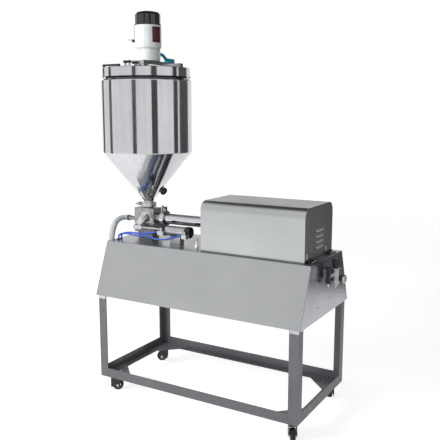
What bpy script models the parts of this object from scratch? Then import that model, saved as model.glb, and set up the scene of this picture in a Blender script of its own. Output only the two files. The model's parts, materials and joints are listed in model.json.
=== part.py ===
"""Piston liquid filler with a stirred hopper, on a caster stand.

Units are metres, +Z is up and +X runs along the machine, from the filling end to the air inlet end.
Sizes and places are first written in the machine's own frame: x = 0 and y = 0 at the middle of the
cabinet and z = 0 on the floor.  The root empty then moves the whole machine, so that the world's
origin lies on the floor under the middle of its bounding box.
"""

import math

import bmesh
import bpy
from mathutils import Matrix, Vector

MM = 0.001
GAP = 0.3 * MM              # between faces that rest on each other
RUNNING = 0.3 * MM          # between a turning or sliding piece and its bore
PAST = 5 * MM               # a cutter beyond the face it cuts

# ---------------------------------------------------------------- stand
STROKE = 200 * MM           # of the measuring piston and the air cylinder
ANGLE = 40 * MM             # flange of the steel angle
ANGLE_T = 4 * MM
STAND_WIDTH = 488.4 * MM
LEG_UP = 4 * MM             # legs reach inside the skirt
GUSSET = 170 * MM           # side of the corner plates
GUSSET_T = 3 * MM
WELD = 1 * MM               # depth of a weld into each side

# ---------------------------------------------------------------- casters
WHEEL_R = 25 * MM
TYRE_W = 20 * MM
HUB_W = 25 * MM
HUB_R = 12 * MM
AXLE_R = 4 * MM
TRAIL = 18 * MM
FORK_T = 2.5 * MM
FORK_REACH = 12 * MM        # fork beyond the axle and the swivel
WHEEL_CLEAR = 9.5 * MM      # wheel to the underside of the crown
CROWN_Z = 2 * WHEEL_R + WHEEL_CLEAR + FORK_T
RACE_R = 20 * MM
RACE_H = 8.2 * MM           # fork's crown to the caster's plate
CASTER_PLATE = 60 * MM
CASTER_PLATE_T = 3 * MM
CASTER_H = CROWN_Z + RACE_H + CASTER_PLATE_T
CASTER_INSET_X = 38 * MM    # swivel axis from the stand's outer faces
CASTER_INSET_Y = 42 * MM
BOLT_PITCH = 46 * MM
BOLT_R = 3 * MM
BOLT_HEAD_R = 5 * MM
BOLT_HEAD_H = 4 * MM
CASTER_HEADINGS = {         # way each fork trails at rest, degrees from +X
    "front_left": 30.5,
    "front_right": -60.0,
    "rear_left": 210.0,
    "rear_right": 120.0,
}

# ---------------------------------------------------------------- cabinet
CABINET_REST = 776 * MM     # cabinet's length without the stroke
DECK_WIDTH = 330 * MM
SKIRT_WIDTH = 502 * MM
DECK_Z = 677 * MM
SKIRT_Z = 448 * MM
SHEET = 2 * MM
CABINET_LENGTH = CABINET_REST + STROKE
STAND_INSET = 9.3 * MM      # stand inside the cabinet's ends
STAND_LENGTH = CABINET_LENGTH - 2 * STAND_INSET
END_X = -CABINET_LENGTH / 2         # filling end, which the valve's group is placed from

# ---------------------------------------------------------------- hood
HOOD_X0 = END_X + 480 * MM
HOOD_SPARE = 47.4 * MM      # air cylinder's end to the hood's
HOOD_Y = -5 * MM            # middle of the hood
HOOD_WIDTH = 284 * MM
HOOD_SEAT = 5 * MM          # hood's lower edge above the deck
HOOD_H = 204 * MM
HOOD_ROUND = 38 * MM
NOTCH_W = 64 * MM           # notch for the product cylinder
LOUVRE_COUNT = 4
LOUVRE_PITCH = 22 * MM
LOUVRE_SLOT = (80 * MM, 4 * MM)
LOUVRE_TOP_Z = 785 * MM
HINGE_R = 4 * MM
HINGE_LEAF_T = 2.5 * MM
HINGE_LEAF = (24 * MM, 50 * MM)
HINGE_YS = (-100 * MM, 95 * MM)
HINGE_BITE = 0.5 * MM       # barrel sunk in its leaf
SEAT_IN = 12 * MM           # width of the strip under the hood
CATCH = (HOOD_X0 - 42 * MM, -110 * MM)

# ---------------------------------------------------------------- hopper
HOPPER_X = END_X + 110 * MM
HOPPER_R = 199 * MM
HOPPER_WALL = 2 * MM
CONE_TOP_Z = 1068 * MM
CONE_END_Z = 847 * MM
RIM_Z = 1377 * MM
SHOULDER_H = 15 * MM
SHOULDER_IN = 20 * MM
SEAT_W = 6 * MM
NECK_R = 22 * MM
NECK_BORE = 17 * MM
FERRULE_R = 30 * MM
FERRULE_T = 5 * MM
JOINT_Z = 831 * MM          # meeting faces of the neck's ferrules

# ---------------------------------------------------------------- lid and stirrer drive
LID_R = 194 * MM
LID_H = 40 * MM
LID_T = 2 * MM
FLAP_CHORD = -62 * MM       # from the hopper's axis
FLAP_SLIT = 0.8 * MM
LID_HINGE_R = 3.5 * MM
LID_HINGE_L = 40 * MM
LID_HINGE_YS = (-60 * MM, 60 * MM)
HANDLE_Y = -90 * MM
HANDLE_W = 12 * MM
HANDLE_H = 18 * MM
HANDLE_X = (HOPPER_X - 169 * MM, HOPPER_X - 77 * MM)
KNOB_XS = (HOPPER_X - 45 * MM, HOPPER_X - 23 * MM)
KNOB_Y = -90 * MM
KNOB_POST_R = 4 * MM
KNOB_POST_H = 20 * MM
KNOB_R = 8 * MM
KNOB_H = 11 * MM
BEAM_X = (-32 * MM, 32 * MM)
BEAM_Y = (-62 * MM, 176 * MM)
BEAM_T = 16 * MM
BEAM_LIFT = 17 * MM         # beam above the lid
POST_FRONT = (-54 * MM, -34 * MM)
POST_REAR = (150 * MM, 176 * MM)
SIDE_BLOCK_X = 77 * MM
SIDE_BLOCK_H = 30 * MM
MOTOR_X = HOPPER_X
MOTOR_Y = 16 * MM
GEARBOX_R = 53 * MM
GEARBOX_H = 48 * MM
MOTOR_R = 57.5 * MM
MOTOR_H = 104 * MM
MOTOR_WALL = 4.5 * MM
STATOR_BORE = 41 * MM
FAN_COVER_R = 56 * MM
FAN_COVER_H = 58 * MM
TERMINAL_BOX = (44 * MM, 56 * MM, 58 * MM)
ROTOR_SHAFT_R = 5 * MM
SHAFT_R = 9 * MM
SHAFT_TIP_Z = 960 * MM
SHAFT_TOP_UP = 34 * MM      # shaft's end above the gearbox's foot
PADDLES = ((1250 * MM, 150 * MM), (1040 * MM, 110 * MM))
PADDLE_W = 30 * MM
PADDLE_T = 6 * MM
PADDLE_PITCH = 35.0
COLLAR_R = 16 * MM

# ---------------------------------------------------------------- rotary valve
VALVE_X = (END_X + 52 * MM, END_X + 159 * MM)
VALVE_D = 66 * MM
VALVE_Z = (704 * MM, 815 * MM)
BORE_Z = 771 * MM           # axis of the plug, the product cylinder and the air cylinder
PLUG_X = END_X + 118 * MM
PLUG_R = 31 * MM
PORT_R = 15 * MM
BOSS_R = 24 * MM
BOSS_L = 10 * MM
STUB_R = 9 * MM
LEVER_Y = -62 * MM
LEVER_T = 6 * MM
LEVER_DROP = 39.5 * MM      # plug's axis above the actuator's
LEVER_HUB_R = 16 * MM
LEVER_TIP_R = 11 * MM
LEVER_REST = 225.0          # degrees from +X, seen from the front
PIN_R = 3 * MM
SLOT_HALF = 6.7 * MM        # the pin drifts across the slot while both turn
OUTLET_Y = 0 * MM
OUTLET_Z = 758 * MM
OUTLET_R = 10 * MM
OUTLET_BORE = 7 * MM
OUTLET_END_X = END_X + 2 * MM

# ---------------------------------------------------------------- valve actuator
ACTUATOR_FRONT_X = END_X + 248 * MM
ACTUATOR_R = 22 * MM
ACTUATOR_BORE = 20 * MM
ACTUATOR_FRONT_WALL = 11 * MM
ACTUATOR_BACK_WALL = 8 * MM
ACTUATOR_PISTON_T = 8 * MM
ACTUATOR_STOP = 0.5 * MM    # piston off the front wall at rest
ACTUATOR_SPARE = 7.5 * MM   # behind the piston at the end of its stroke
ACTUATOR_STROKE = 2 * LEVER_DROP
ACTUATOR_FOOT_IN = 30 * MM  # foot from each end of the barrel
ACTUATOR_FOOT_HALF = 16 * MM
ACTUATOR_ROD_R = 6 * MM
CLEVIS_HALF_H = 9 * MM
CLEVIS_PLAY = 0.5 * MM      # each side of the lever
PORT_BLOCK = (18 * MM, 9 * MM)      # reach in front of the barrel, half height
PORT_IN = 8 * MM            # port block sunk past the barrel's front
PORT_KNOB_R = 7 * MM
CLEVIS_BASE = 28 * MM       # pin to the clevis's solid end
CLEVIS_CHEEK = 4 * MM
PORT_DROPS = (8 * MM, 14 * MM)      # air ports below the axis
TUBE_R = 4 * MM
GROMMETS = ((END_X + 26 * MM, -98 * MM), (END_X + 26 * MM, -118 * MM))

# ---------------------------------------------------------------- product cylinder
TUBE_OR = 24 * MM
TUBE_IR = 22 * MM
TUBE_FLANGE_X = END_X + 200 * MM   # meeting faces of the ferrules
TUBE_END_X = END_X + 518 * MM
FLANGE_R = 30 * MM
PISTON_L = 30 * MM
PISTON_REST_X = END_X + 170 * MM   # face of the piston nearest the valve
ROD_R = 8 * MM

# ---------------------------------------------------------------- air cylinder
AIR_X = END_X + 613 * MM
AIR_CAP_T = 25 * MM
AIR_CAP_W = 76 * MM
AIR_BORE = 31.5 * MM
AIR_OR = 35 * MM
AIR_PISTON_T = 24 * MM
AIR_CUSHION = 6 * MM        # both ends of the piston's travel together
TIE_ROD_R = 4 * MM
TIE_BITE = 3 * MM           # tie rod screwed into its cap
SUPPORT_X = END_X + 496 * MM
SUPPORT_T = 12 * MM
SUPPORT_HALF = 32 * MM

# ---------------------------------------------------------------- clamps
CLAMP_R = 35 * MM
CLAMP_W = 20 * MM
EAR_REACH = 19 * MM
WING_HALF = 14 * MM
EAR_W = 16 * MM
WING_BOLT_R = 4 * MM
WING_BOLT_L = 20 * MM
BOLT_IN = 7 * MM            # bolt from the ears' ends
NUT_R = 8 * MM
NUT_H = 12 * MM
WING_T = 4 * MM

# ---------------------------------------------------------------- hose and nozzle
HOSE_R = 12 * MM
HOSE_POINTS = (             # from the filling end, millimetres, off the spout and down to the nozzle
    (1.7, 0, 758), (-4, 0, 758), (-10, 0, 758), (-23, -5, 758.5), (-33, -18, 757), (-38, -36, 752),
    (-38, -55, 743), (-33, -74, 728), (-29, -90, 709), (-26.5, -100, 688), (-25, -105, 665),
    (-25, -105, 645), (-25, -105, 630), (-25, -105, 615),
)
NOZZLE_X = END_X - 25 * MM
NOZZLE_Y = -105 * MM
NOZZLE_ARM_Z = 560 * MM
NOZZLE_TIP_Z = 462 * MM
NOZZLE_R = 13 * MM
NOZZLE_TIP_R = 6 * MM

# ---------------------------------------------------------------- air preparation unit
FRL_X = (CABINET_LENGTH / 2 + 18 * MM, CABINET_LENGTH / 2 + 54 * MM)
FRL_Y = 0 * MM
FRL_W = 34 * MM
FRL_Z = (590 * MM, 640 * MM)
FRL_KNOB_R = 14.5 * MM
FRL_KNOB_H = 39 * MM
FRL_BOWL_R = 14 * MM
FRL_BOWL_H = 22 * MM
GAUGE_R = 16.5 * MM
GAUGE_T = 20 * MM
GAUGE_Y = 5 * MM
GAUGE_Z = 600 * MM
INLET_X = CABINET_LENGTH / 2 + 20 * MM
INLET_Y = -38 * MM
INLET_W = 16 * MM
INLET_Z = (585 * MM, 650 * MM)

# ---------------------------------------------------------------- worked out from the sizes above
RAIL_Z = CASTER_H + GAP
LEG_TOP = SKIRT_Z + LEG_UP
LID_Z0 = RIM_Z + SHOULDER_H + GAP
LID_TOP = LID_Z0 + LID_H
BEAM_Z = LID_TOP + BEAM_LIFT
DRIVE_Z = BEAM_Z + BEAM_T + GAP
MOTOR_Z = DRIVE_Z + GEARBOX_H + GAP
FAN_Z = MOTOR_Z + MOTOR_H + GAP
AIR_END_X = AIR_X + 2 * (AIR_CAP_T + GAP) + STROKE + AIR_PISTON_T + AIR_CUSHION
HOOD_X1 = AIR_END_X + HOOD_SPARE
HOOD_LENGTH = HOOD_X1 - HOOD_X0
HOOD_Z0 = DECK_Z + HOOD_SEAT
HINGE_X = HOOD_X1 + HINGE_R + 3 * MM
HINGE_Z = DECK_Z + GAP + HINGE_LEAF_T + HINGE_R - HINGE_BITE
ROD_Z = BORE_Z - LEVER_DROP
PIN_X = PLUG_X - LEVER_DROP
FRL_REACH = FRL_X[1] + GAP + GAUGE_T
X_MIN = HOPPER_X - HOPPER_R
X_MAX = max(FRL_REACH, CABINET_LENGTH / 2)
SHIFT = -(X_MIN + X_MAX) / 2

SIDES = 24                  # of large round pieces
FINE_SIDES = 40             # of the hopper and its lid

NAME = "piston_liquid_filler"


# ================================================================ tools
def clear_scene():
    """Remove what the scene holds."""
    for item in list(bpy.data.objects):
        bpy.data.objects.remove(item, do_unlink=True)


def new_collection(name):
    """Add a collection to the scene."""
    collection = bpy.data.collections.new(name)
    bpy.context.scene.collection.children.link(collection)
    return collection


clear_scene()
PARTS = new_collection(NAME)
CUTTERS = new_collection(NAME + "_cutters")
PLACES = {}                 # each empty's place in the machine's frame
FINISHES = {
    "stainless": ("#B6B9BC", 0.28, 1.0),
    "polished_stainless": ("#C9CCCE", 0.12, 1.0),
    "painted_steel": ("#77787B", 0.45, 0.6),
    "black_steel": ("#17181A", 0.45, 0.2),
    "rubber": ("#121213", 0.8, 0.0),
    "aluminium": ("#B9BBBE", 0.35, 1.0),
    "dark_plastic": ("#1C1D20", 0.5, 0.0),
    "white_plastic": ("#E8E8E4", 0.4, 0.0),
    "blue_plastic": ("#2FA9C9", 0.3, 0.0),
    "blue_tube": ("#3A5FB8", 0.25, 0.0),
    "clear_plastic": ("#DDE6E6", 0.1, 0.0),
    "hose": ("#C4CBD2", 0.25, 0.0),
    "motor_cast": ("#D4D8D6", 0.4, 0.3),
    "ptfe": ("#EDEDE8", 0.5, 0.0),
}


def finish(name):
    """Return the named material, made on first use."""
    if name in bpy.data.materials:
        return bpy.data.materials[name]
    hex_colour, roughness, metallic = FINISHES[name]
    channels = [int(hex_colour[i:i + 2], 16) / 255 for i in (1, 3, 5)]
    linear = [c / 12.92 if c <= 0.04045 else ((c + 0.055) / 1.055) ** 2.4 for c in channels]
    material = bpy.data.materials.new(name)
    material.use_nodes = True
    shader = material.node_tree.nodes["Principled BSDF"]
    shader.inputs["Base Color"].default_value = (*linear, 1)
    shader.inputs["Roughness"].default_value = roughness
    shader.inputs["Metallic"].default_value = metallic
    return material


def empty(name, place, parent=None, turn=0.0):
    """Add an empty on a joint's axis; place is in the machine's frame, or its turned parent's."""
    item = bpy.data.objects.new(name, None)
    item.empty_display_size = 0.05
    PARTS.objects.link(item)
    PLACES[name] = Vector(place)
    item.parent = parent
    item.location = Vector(place) - (PLACES[parent.name] if parent else Vector())
    item.rotation_euler = (0, 0, math.radians(turn))
    return item


def put(item, parent, place, rotation):
    """Parent an object to an empty and place it by the machine's frame."""
    item.parent = parent
    item.location = Vector(place) - PLACES[parent.name]
    item.rotation_euler = [math.radians(angle) for angle in rotation]
    bpy.context.view_layer.update()
    return item


def as_object(name, mesh, material, parent, place=(0, 0, 0), rotation=(0, 0, 0)):
    """Wrap a mesh in a placed object of the model."""
    mesh.name = name
    item = bpy.data.objects.new(name, mesh)
    PARTS.objects.link(item)
    mesh.materials.clear()
    mesh.materials.append(finish(material))
    return put(item, parent, place, rotation)


def from_bmesh(name, bm, material, parent, place=(0, 0, 0), rotation=(0, 0, 0)):
    """Turn a finished bmesh into a placed object."""
    mesh = bpy.data.meshes.new(name)
    bm.to_mesh(mesh)
    bm.free()
    return as_object(name, mesh, material, parent, place, rotation)


def add_box(bm, low, high):
    """Add a box between two corners."""
    low, high = Vector(low), Vector(high)
    size = Matrix.Diagonal((*(high - low), 1))
    bmesh.ops.create_cube(bm, size=1, matrix=Matrix.Translation((low + high) / 2) @ size)


def add_rod(bm, start, end, radius, sides=16, end_radius=None):
    """Add a round rod, or a cone when its end has another radius; its flats face the axes."""
    start, end = Vector(start), Vector(end)
    turn = (end - start).to_track_quat("Z", "Y").to_matrix().to_4x4()
    turn = turn @ Matrix.Rotation(math.pi / sides, 4, "Z")
    bmesh.ops.create_cone(bm, cap_ends=True, segments=sides, radius1=radius,
                          radius2=radius if end_radius is None else end_radius,
                          depth=(end - start).length,
                          matrix=Matrix.Translation((start + end) / 2) @ turn)


def boxes(name, corners, material, parent):
    """Make one node of boxes, each given by its two corners."""
    bm = bmesh.new()
    for low, high in corners:
        add_box(bm, low, high)
    return from_bmesh(name, bm, material, parent)


def rods(name, runs, material, parent, sides=16):
    """Make one node of round rods, each given by two ends and a radius."""
    bm = bmesh.new()
    for start, end, radius in runs:
        add_rod(bm, start, end, radius, sides)
    return from_bmesh(name, bm, material, parent)


def turned(name, profile, material, parent, place=(0, 0, 0), rotation=(0, 0, 0), closed=True, sides=SIDES):
    """Turn a profile of (radius, height) about local Z; it runs down its outer side."""
    mesh = bpy.data.meshes.new(name)
    edges = [(i, i + 1) for i in range(len(profile) - 1)]
    if closed:
        edges.append((len(profile) - 1, 0))
    mesh.from_pydata([(radius, 0, height) for radius, height in profile], edges, [])
    item = as_object(name, mesh, material, parent, place, rotation)
    screw = item.modifiers.new("turned", "SCREW")
    screw.steps = sides
    screw.render_steps = sides
    screw.use_merge_vertices = True
    screw.merge_threshold = 0.01 * MM
    return item


def plate(name, outline, thickness, material, parent, place, rotation, holes=()):
    """Extrude a flat outline by half its thickness each way along local Z."""
    curve = bpy.data.curves.new(name, "CURVE")
    curve.dimensions = "2D"
    curve.fill_mode = "BOTH"
    curve.extrude = thickness / 2
    for loop in (outline, *holes):
        spline = curve.splines.new("POLY")
        spline.points.add(len(loop) - 1)
        for point, (x, y) in zip(spline.points, loop):
            point.co = (x, y, 0, 1)
        spline.use_cyclic_u = True
    flat = bpy.data.objects.new(name + "_outline", curve)
    CUTTERS.objects.link(flat)
    bpy.context.view_layer.update()
    mesh = bpy.data.meshes.new_from_object(flat.evaluated_get(bpy.context.evaluated_depsgraph_get()))
    bpy.data.objects.remove(flat)
    bm = bmesh.new()
    bm.from_mesh(mesh)
    bmesh.ops.remove_doubles(bm, verts=bm.verts, dist=0.01 * MM)
    bmesh.ops.recalc_face_normals(bm, faces=bm.faces)
    bm.to_mesh(mesh)
    bm.free()
    return as_object(name, mesh, material, parent, place, rotation)


def pipe(name, points, radius, material, parent, resolution=2):
    """Sweep a round tube along a smooth curve read from its route points."""
    route = smooth(points, 2)
    curve = bpy.data.curves.new(name, "CURVE")
    curve.dimensions = "3D"
    curve.bevel_depth = radius
    curve.bevel_resolution = resolution
    curve.use_fill_caps = True
    spline = curve.splines.new("POLY")
    spline.points.add(len(route) - 1)
    for point, place in zip(spline.points, route):
        point.co = (*place, 1)
    curve.materials.append(finish(material))
    item = bpy.data.objects.new(name, curve)
    PARTS.objects.link(item)
    return put(item, parent, (0, 0, 0), (0, 0, 0))


def smooth(points, steps):
    """Read points from a Catmull-Rom curve through a route's own points."""
    ends = [2 * points[0] - points[1]] + list(points) + [2 * points[-1] - points[-2]]
    route = []
    for i in range(len(points) - 1):
        a, b, c, d = ends[i:i + 4]
        for step in range(steps):
            t = step / steps
            cubic = (-a + 3 * b - 3 * c + d) * t ** 3
            square = (2 * a - 5 * b + 4 * c - d) * t ** 2
            route.append((2 * b + (c - a) * t + square + cubic) / 2)
    return route + [points[-1]]


def as_tool(item):
    """Hide a shape that only cuts or joins another."""
    PARTS.objects.unlink(item)
    CUTTERS.objects.link(item)
    item.hide_render = True
    item.display_type = "WIRE"
    return item


def combine(item, tool, operation):
    """Cut, join or trim an object by another."""
    as_tool(tool)
    modifier = item.modifiers.new(tool.name, "BOOLEAN")
    modifier.solver = "EXACT"
    modifier.operation = operation
    modifier.object = tool
    return item


def cut_rod(item, start, end, radius, sides=16):
    """Bore a round hole between two points."""
    parent = item.parent
    tool = rods(item.name + "_bore", [(start, end, radius)], "stainless", parent, sides)
    return combine(item, tool, "DIFFERENCE")


def cut_box(item, low, high):
    """Cut away a box."""
    return combine(item, boxes(item.name + "_cut", [(low, high)], "stainless", item.parent), "DIFFERENCE")


def arc(centre, radius, start, end, steps):
    """Points along an arc, by angles in degrees."""
    angles = [math.radians(start + (end - start) * i / steps) for i in range(steps + 1)]
    return [(centre[0] + radius * math.cos(a), centre[1] + radius * math.sin(a)) for a in angles]


ALONG_X = (90, 0, 90)       # outline's x and y to world Y and Z, its depth to world X
ALONG_Y = (90, 0, 0)        # outline's x and y to world X and Z, its depth to world -Y
TURN_X = (0, 90, 0)         # a turned piece's axis to +X
TURN_MINUS_Y = (90, 0, 0)   # a turned piece's axis to -Y


# ================================================================ stand
def corner_signs():
    """The stand's corners, by name."""
    return {"front_left": (-1, -1), "front_right": (1, -1), "rear_left": (-1, 1), "rear_right": (1, 1)}


def angle_outline(sx, sy):
    """Outline of an angle with its heel at the origin and its flanges towards sx and sy."""
    return [(0, 0), (sx * ANGLE, 0), (sx * ANGLE, sy * ANGLE_T), (sx * ANGLE_T, sy * ANGLE_T),
            (sx * ANGLE_T, sy * ANGLE), (0, sy * ANGLE)]


def caster_centres():
    """Swivel axes, by corner."""
    x, y = STAND_LENGTH / 2 - CASTER_INSET_X, STAND_WIDTH / 2 - CASTER_INSET_Y
    return {name: (sx * x, sy * y) for name, (sx, sy) in corner_signs().items()}


def bolt_places():
    """Every caster bolt's axis."""
    half = BOLT_PITCH / 2
    return [(x + sx * half, y + sy * half) for x, y in caster_centres().values()
            for sx in (-1, 1) for sy in (-1, 1)]


def drill(item, places, low, high):
    """Bore the caster bolts' holes through one piece."""
    tool = rods(item.name + "_holes", [((x, y, low), (x, y, high), BOLT_R + GAP) for x, y in places],
                "painted_steel", item.parent, 10)
    combine(item, tool, "DIFFERENCE")


def build_stand(root):
    """Two welded end frames and the two long rails between them."""
    half_x, half_y = STAND_LENGTH / 2, STAND_WIDTH / 2
    for name, sx in (("end_frame_left", -1), ("end_frame_right", 1)):
        build_end_frame(name, sx, root)

    run_x = half_x - ANGLE - GAP
    cope_x, cope_y = half_x - ANGLE_T - GAP, half_y - ANGLE_T - GAP
    low, high = RAIL_Z, RAIL_Z + ANGLE_T
    for name, sy in (("lower_rail_front", -1), ("lower_rail_rear", 1)):
        rail = plate(name, angle_outline(-sy, 1), 2 * run_x, "painted_steel", root,
                     (0, sy * half_y, RAIL_Z), ALONG_X)
        ys = sorted((sy * (half_y - ANGLE), sy * cope_y))
        flange = boxes(name + "_flange", [((-cope_x, ys[0], low), (cope_x, ys[1], high))],
                       "painted_steel", root)
        combine(rail, flange, "UNION")
        drill(rail, [(x, y) for x, y in bolt_places() if y * sy > half_y - ANGLE], low - GAP, high + GAP)


def build_end_frame(name, sx, root):
    """Two legs, the short rail between them and its corner plates, welded together."""
    half_x, half_y = STAND_LENGTH / 2, STAND_WIDTH / 2
    run_y = half_y - ANGLE - GAP
    under = RAIL_Z + ANGLE_T + GAP
    frame = plate(name, angle_outline(-sx, 1), 2 * run_y, "painted_steel", root,
                  (sx * half_x, 0, RAIL_Z), ALONG_Y)
    leg_h = LEG_TOP - RAIL_Z
    web = sorted((sx * half_x, sx * (half_x - ANGLE_T)))
    for sy in (-1, 1):
        leg = plate(name + "_leg", angle_outline(-sx, -sy), leg_h, "painted_steel", root,
                    (sx * half_x, sy * half_y, RAIL_Z + leg_h / 2), (0, 0, 0))
        combine(frame, leg, "UNION")
        ys = sorted((sy * (run_y - WELD), sy * (run_y + WELD)))
        weld = boxes(name + "_weld", [((web[0], ys[0], RAIL_Z), (web[1], ys[1], RAIL_Z + ANGLE))],
                     "painted_steel", root)
        combine(frame, weld, "UNION")
        corner = (sx * (half_x - ANGLE_T - GAP), sy * (half_y - ANGLE_T - GAP), under + GUSSET_T / 2)
        gusset = plate(name + "_gusset", [(0, 0), (-sx * GUSSET, 0), (0, -sy * GUSSET)], GUSSET_T,
                       "painted_steel", root, corner, (0, 0, 0))
        combine(frame, gusset, "UNION")
        xs = sorted((sx * (half_x - ANGLE + 6 * MM), sx * (half_x - ANGLE_T - 2 * MM)))
        ys = sorted((sy * (half_y - 130 * MM), sy * (half_y - 75 * MM)))
        bead = boxes(name + "_bead", [((xs[0], ys[0], RAIL_Z + ANGLE_T - WELD),
                                       (xs[1], ys[1], under + WELD))], "painted_steel", root)
        combine(frame, bead, "UNION")
    drill(frame, [(x, y) for x, y in bolt_places() if x * sx > 0], RAIL_Z - GAP, under + GUSSET_T + GAP)


def build_caster_mounts(root):
    """Caster top plates, each with its swivel race and its four bolts."""
    half = CASTER_PLATE / 2
    under = CASTER_H - CASTER_PLATE_T
    nut = RAIL_Z + ANGLE_T + GAP + GUSSET_T + GAP
    bolt = [(0, nut + BOLT_HEAD_H), (BOLT_HEAD_R, nut + BOLT_HEAD_H), (BOLT_HEAD_R, nut), (BOLT_R, nut),
            (BOLT_R, under + WELD), (BOLT_HEAD_R, under + WELD), (BOLT_HEAD_R, under - BOLT_HEAD_H),
            (0, under - BOLT_HEAD_H)]
    for name, (x, y) in caster_centres().items():
        top = boxes("caster_plate_" + name, [((x - half, y - half, under), (x + half, y + half, CASTER_H))],
                    "painted_steel", root)
        race = bmesh.new()
        add_rod(race, (x, y, CROWN_Z + GAP), (x, y, under + WELD), RACE_R - 3 * MM, 20, RACE_R)
        combine(top, from_bmesh("race_" + name, race, "painted_steel", root), "UNION")
        pitch = BOLT_PITCH / 2
        for sx in (-1, 1):
            for sy in (-1, 1):
                place = (x + sx * pitch, y + sy * pitch, 0)
                combine(top, turned("bolt_" + name, bolt, "stainless", root, place, closed=False, sides=6),
                        "UNION")


def build_casters(root):
    """Four swivelling casters: forks and wheels."""
    for name, (x, y) in caster_centres().items():
        swivel = empty("swivel_" + name, (x, y, 0), root, CASTER_HEADINGS[name])
        build_fork("caster_fork_" + name, swivel)
        centre = Vector((x + TRAIL, y, WHEEL_R))
        wheel = empty("wheel_axis_" + name, centre, swivel)
        half_hub, half_tyre = HUB_W / 2, TYRE_W / 2
        shoulder = 3 * MM
        profile = [(HUB_R, half_hub), (HUB_R, half_tyre), (WHEEL_R - shoulder, half_tyre),
                   (WHEEL_R, half_tyre - shoulder), (WHEEL_R, shoulder - half_tyre),
                   (WHEEL_R - shoulder, -half_tyre), (HUB_R, -half_tyre), (HUB_R, -half_hub),
                   (AXLE_R + RUNNING, -half_hub), (AXLE_R + RUNNING, half_hub)]
        turned("caster_wheel_" + name, profile, "rubber", wheel, centre, TURN_MINUS_Y, sides=20)


def build_fork(name, swivel):
    """A fork with its axle, in the swivel's own frame, trailing towards its +X."""
    base = PLACES[swivel.name]
    inner = HUB_W / 2 + 1 * MM
    outer = inner + FORK_T
    low = WHEEL_R - 8 * MM
    outline = [(-outer, CROWN_Z), (-outer, low), (-inner, low), (-inner, CROWN_Z - FORK_T),
               (inner, CROWN_Z - FORK_T), (inner, low), (outer, low), (outer, CROWN_Z)]
    length = TRAIL + 2 * FORK_REACH
    fork = plate(name, outline, length, "black_steel", swivel, base + Vector((TRAIL / 2, 0, 0)), ALONG_X)
    axle_end = outer + 2 * MM
    axle_place = base + Vector((TRAIL, 0, WHEEL_R))
    axle = rods(name + "_axle", [(Vector((0, -axle_end, 0)), Vector((0, axle_end, 0)), AXLE_R)],
                "black_steel", swivel, 12)
    axle.location = axle_place - base
    combine(fork, axle, "UNION")


# ================================================================ cabinet
def skirt_half(z, inset=0.0):
    """Half the cabinet's width at a height, less a sheet's width measured level."""
    slope = (SKIRT_WIDTH - DECK_WIDTH) / 2 / (DECK_Z - SKIRT_Z)
    return SKIRT_WIDTH / 2 - slope * (z - SKIRT_Z) - inset * math.hypot(1, slope)


def build_cabinet(root):
    """Bent cabinet sheet, its two end panels and its floor."""
    outer = [(-skirt_half(SKIRT_Z), SKIRT_Z), (-skirt_half(DECK_Z), DECK_Z), (skirt_half(DECK_Z), DECK_Z),
             (skirt_half(SKIRT_Z), SKIRT_Z)]
    top = DECK_Z - SHEET
    inner = [(skirt_half(SKIRT_Z, SHEET), SKIRT_Z), (skirt_half(top, SHEET), top),
             (-skirt_half(top, SHEET), top), (-skirt_half(SKIRT_Z, SHEET), SKIRT_Z)]
    panel_x = CABINET_LENGTH / 2 - SHEET / 2
    plate("cabinet_shell", outer + inner, CABINET_LENGTH - 2 * (SHEET + GAP), "stainless", root,
          (0, 0, 0), ALONG_X)
    plate("cabinet_end_left", outer, SHEET, "stainless", root, (-panel_x, 0, 0), ALONG_X)
    plate("cabinet_end_right", outer, SHEET, "stainless", root, (panel_x, 0, 0), ALONG_X)
    floor_z = LEG_TOP + GAP
    half_y = skirt_half(floor_z + SHEET, SHEET) - GAP
    half_x = CABINET_LENGTH / 2 - SHEET - GAP
    boxes("cabinet_floor", [((-half_x, -half_y, floor_z), (half_x, half_y, floor_z + SHEET))],
          "stainless", root)


# ================================================================ hood
def hood_outline(inset):
    """The hood's arch in its end view, from lower right to lower left."""
    half, top = HOOD_WIDTH / 2 - inset, HOOD_Z0 + HOOD_H - inset
    radius = HOOD_ROUND - inset
    right = arc((HOOD_Y + half - radius, top - radius), radius, 0, 90, 5)
    left = arc((HOOD_Y - half + radius, top - radius), radius, 90, 180, 5)
    return [(HOOD_Y + half, HOOD_Z0)] + right + left + [(HOOD_Y - half, HOOD_Z0)]


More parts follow.
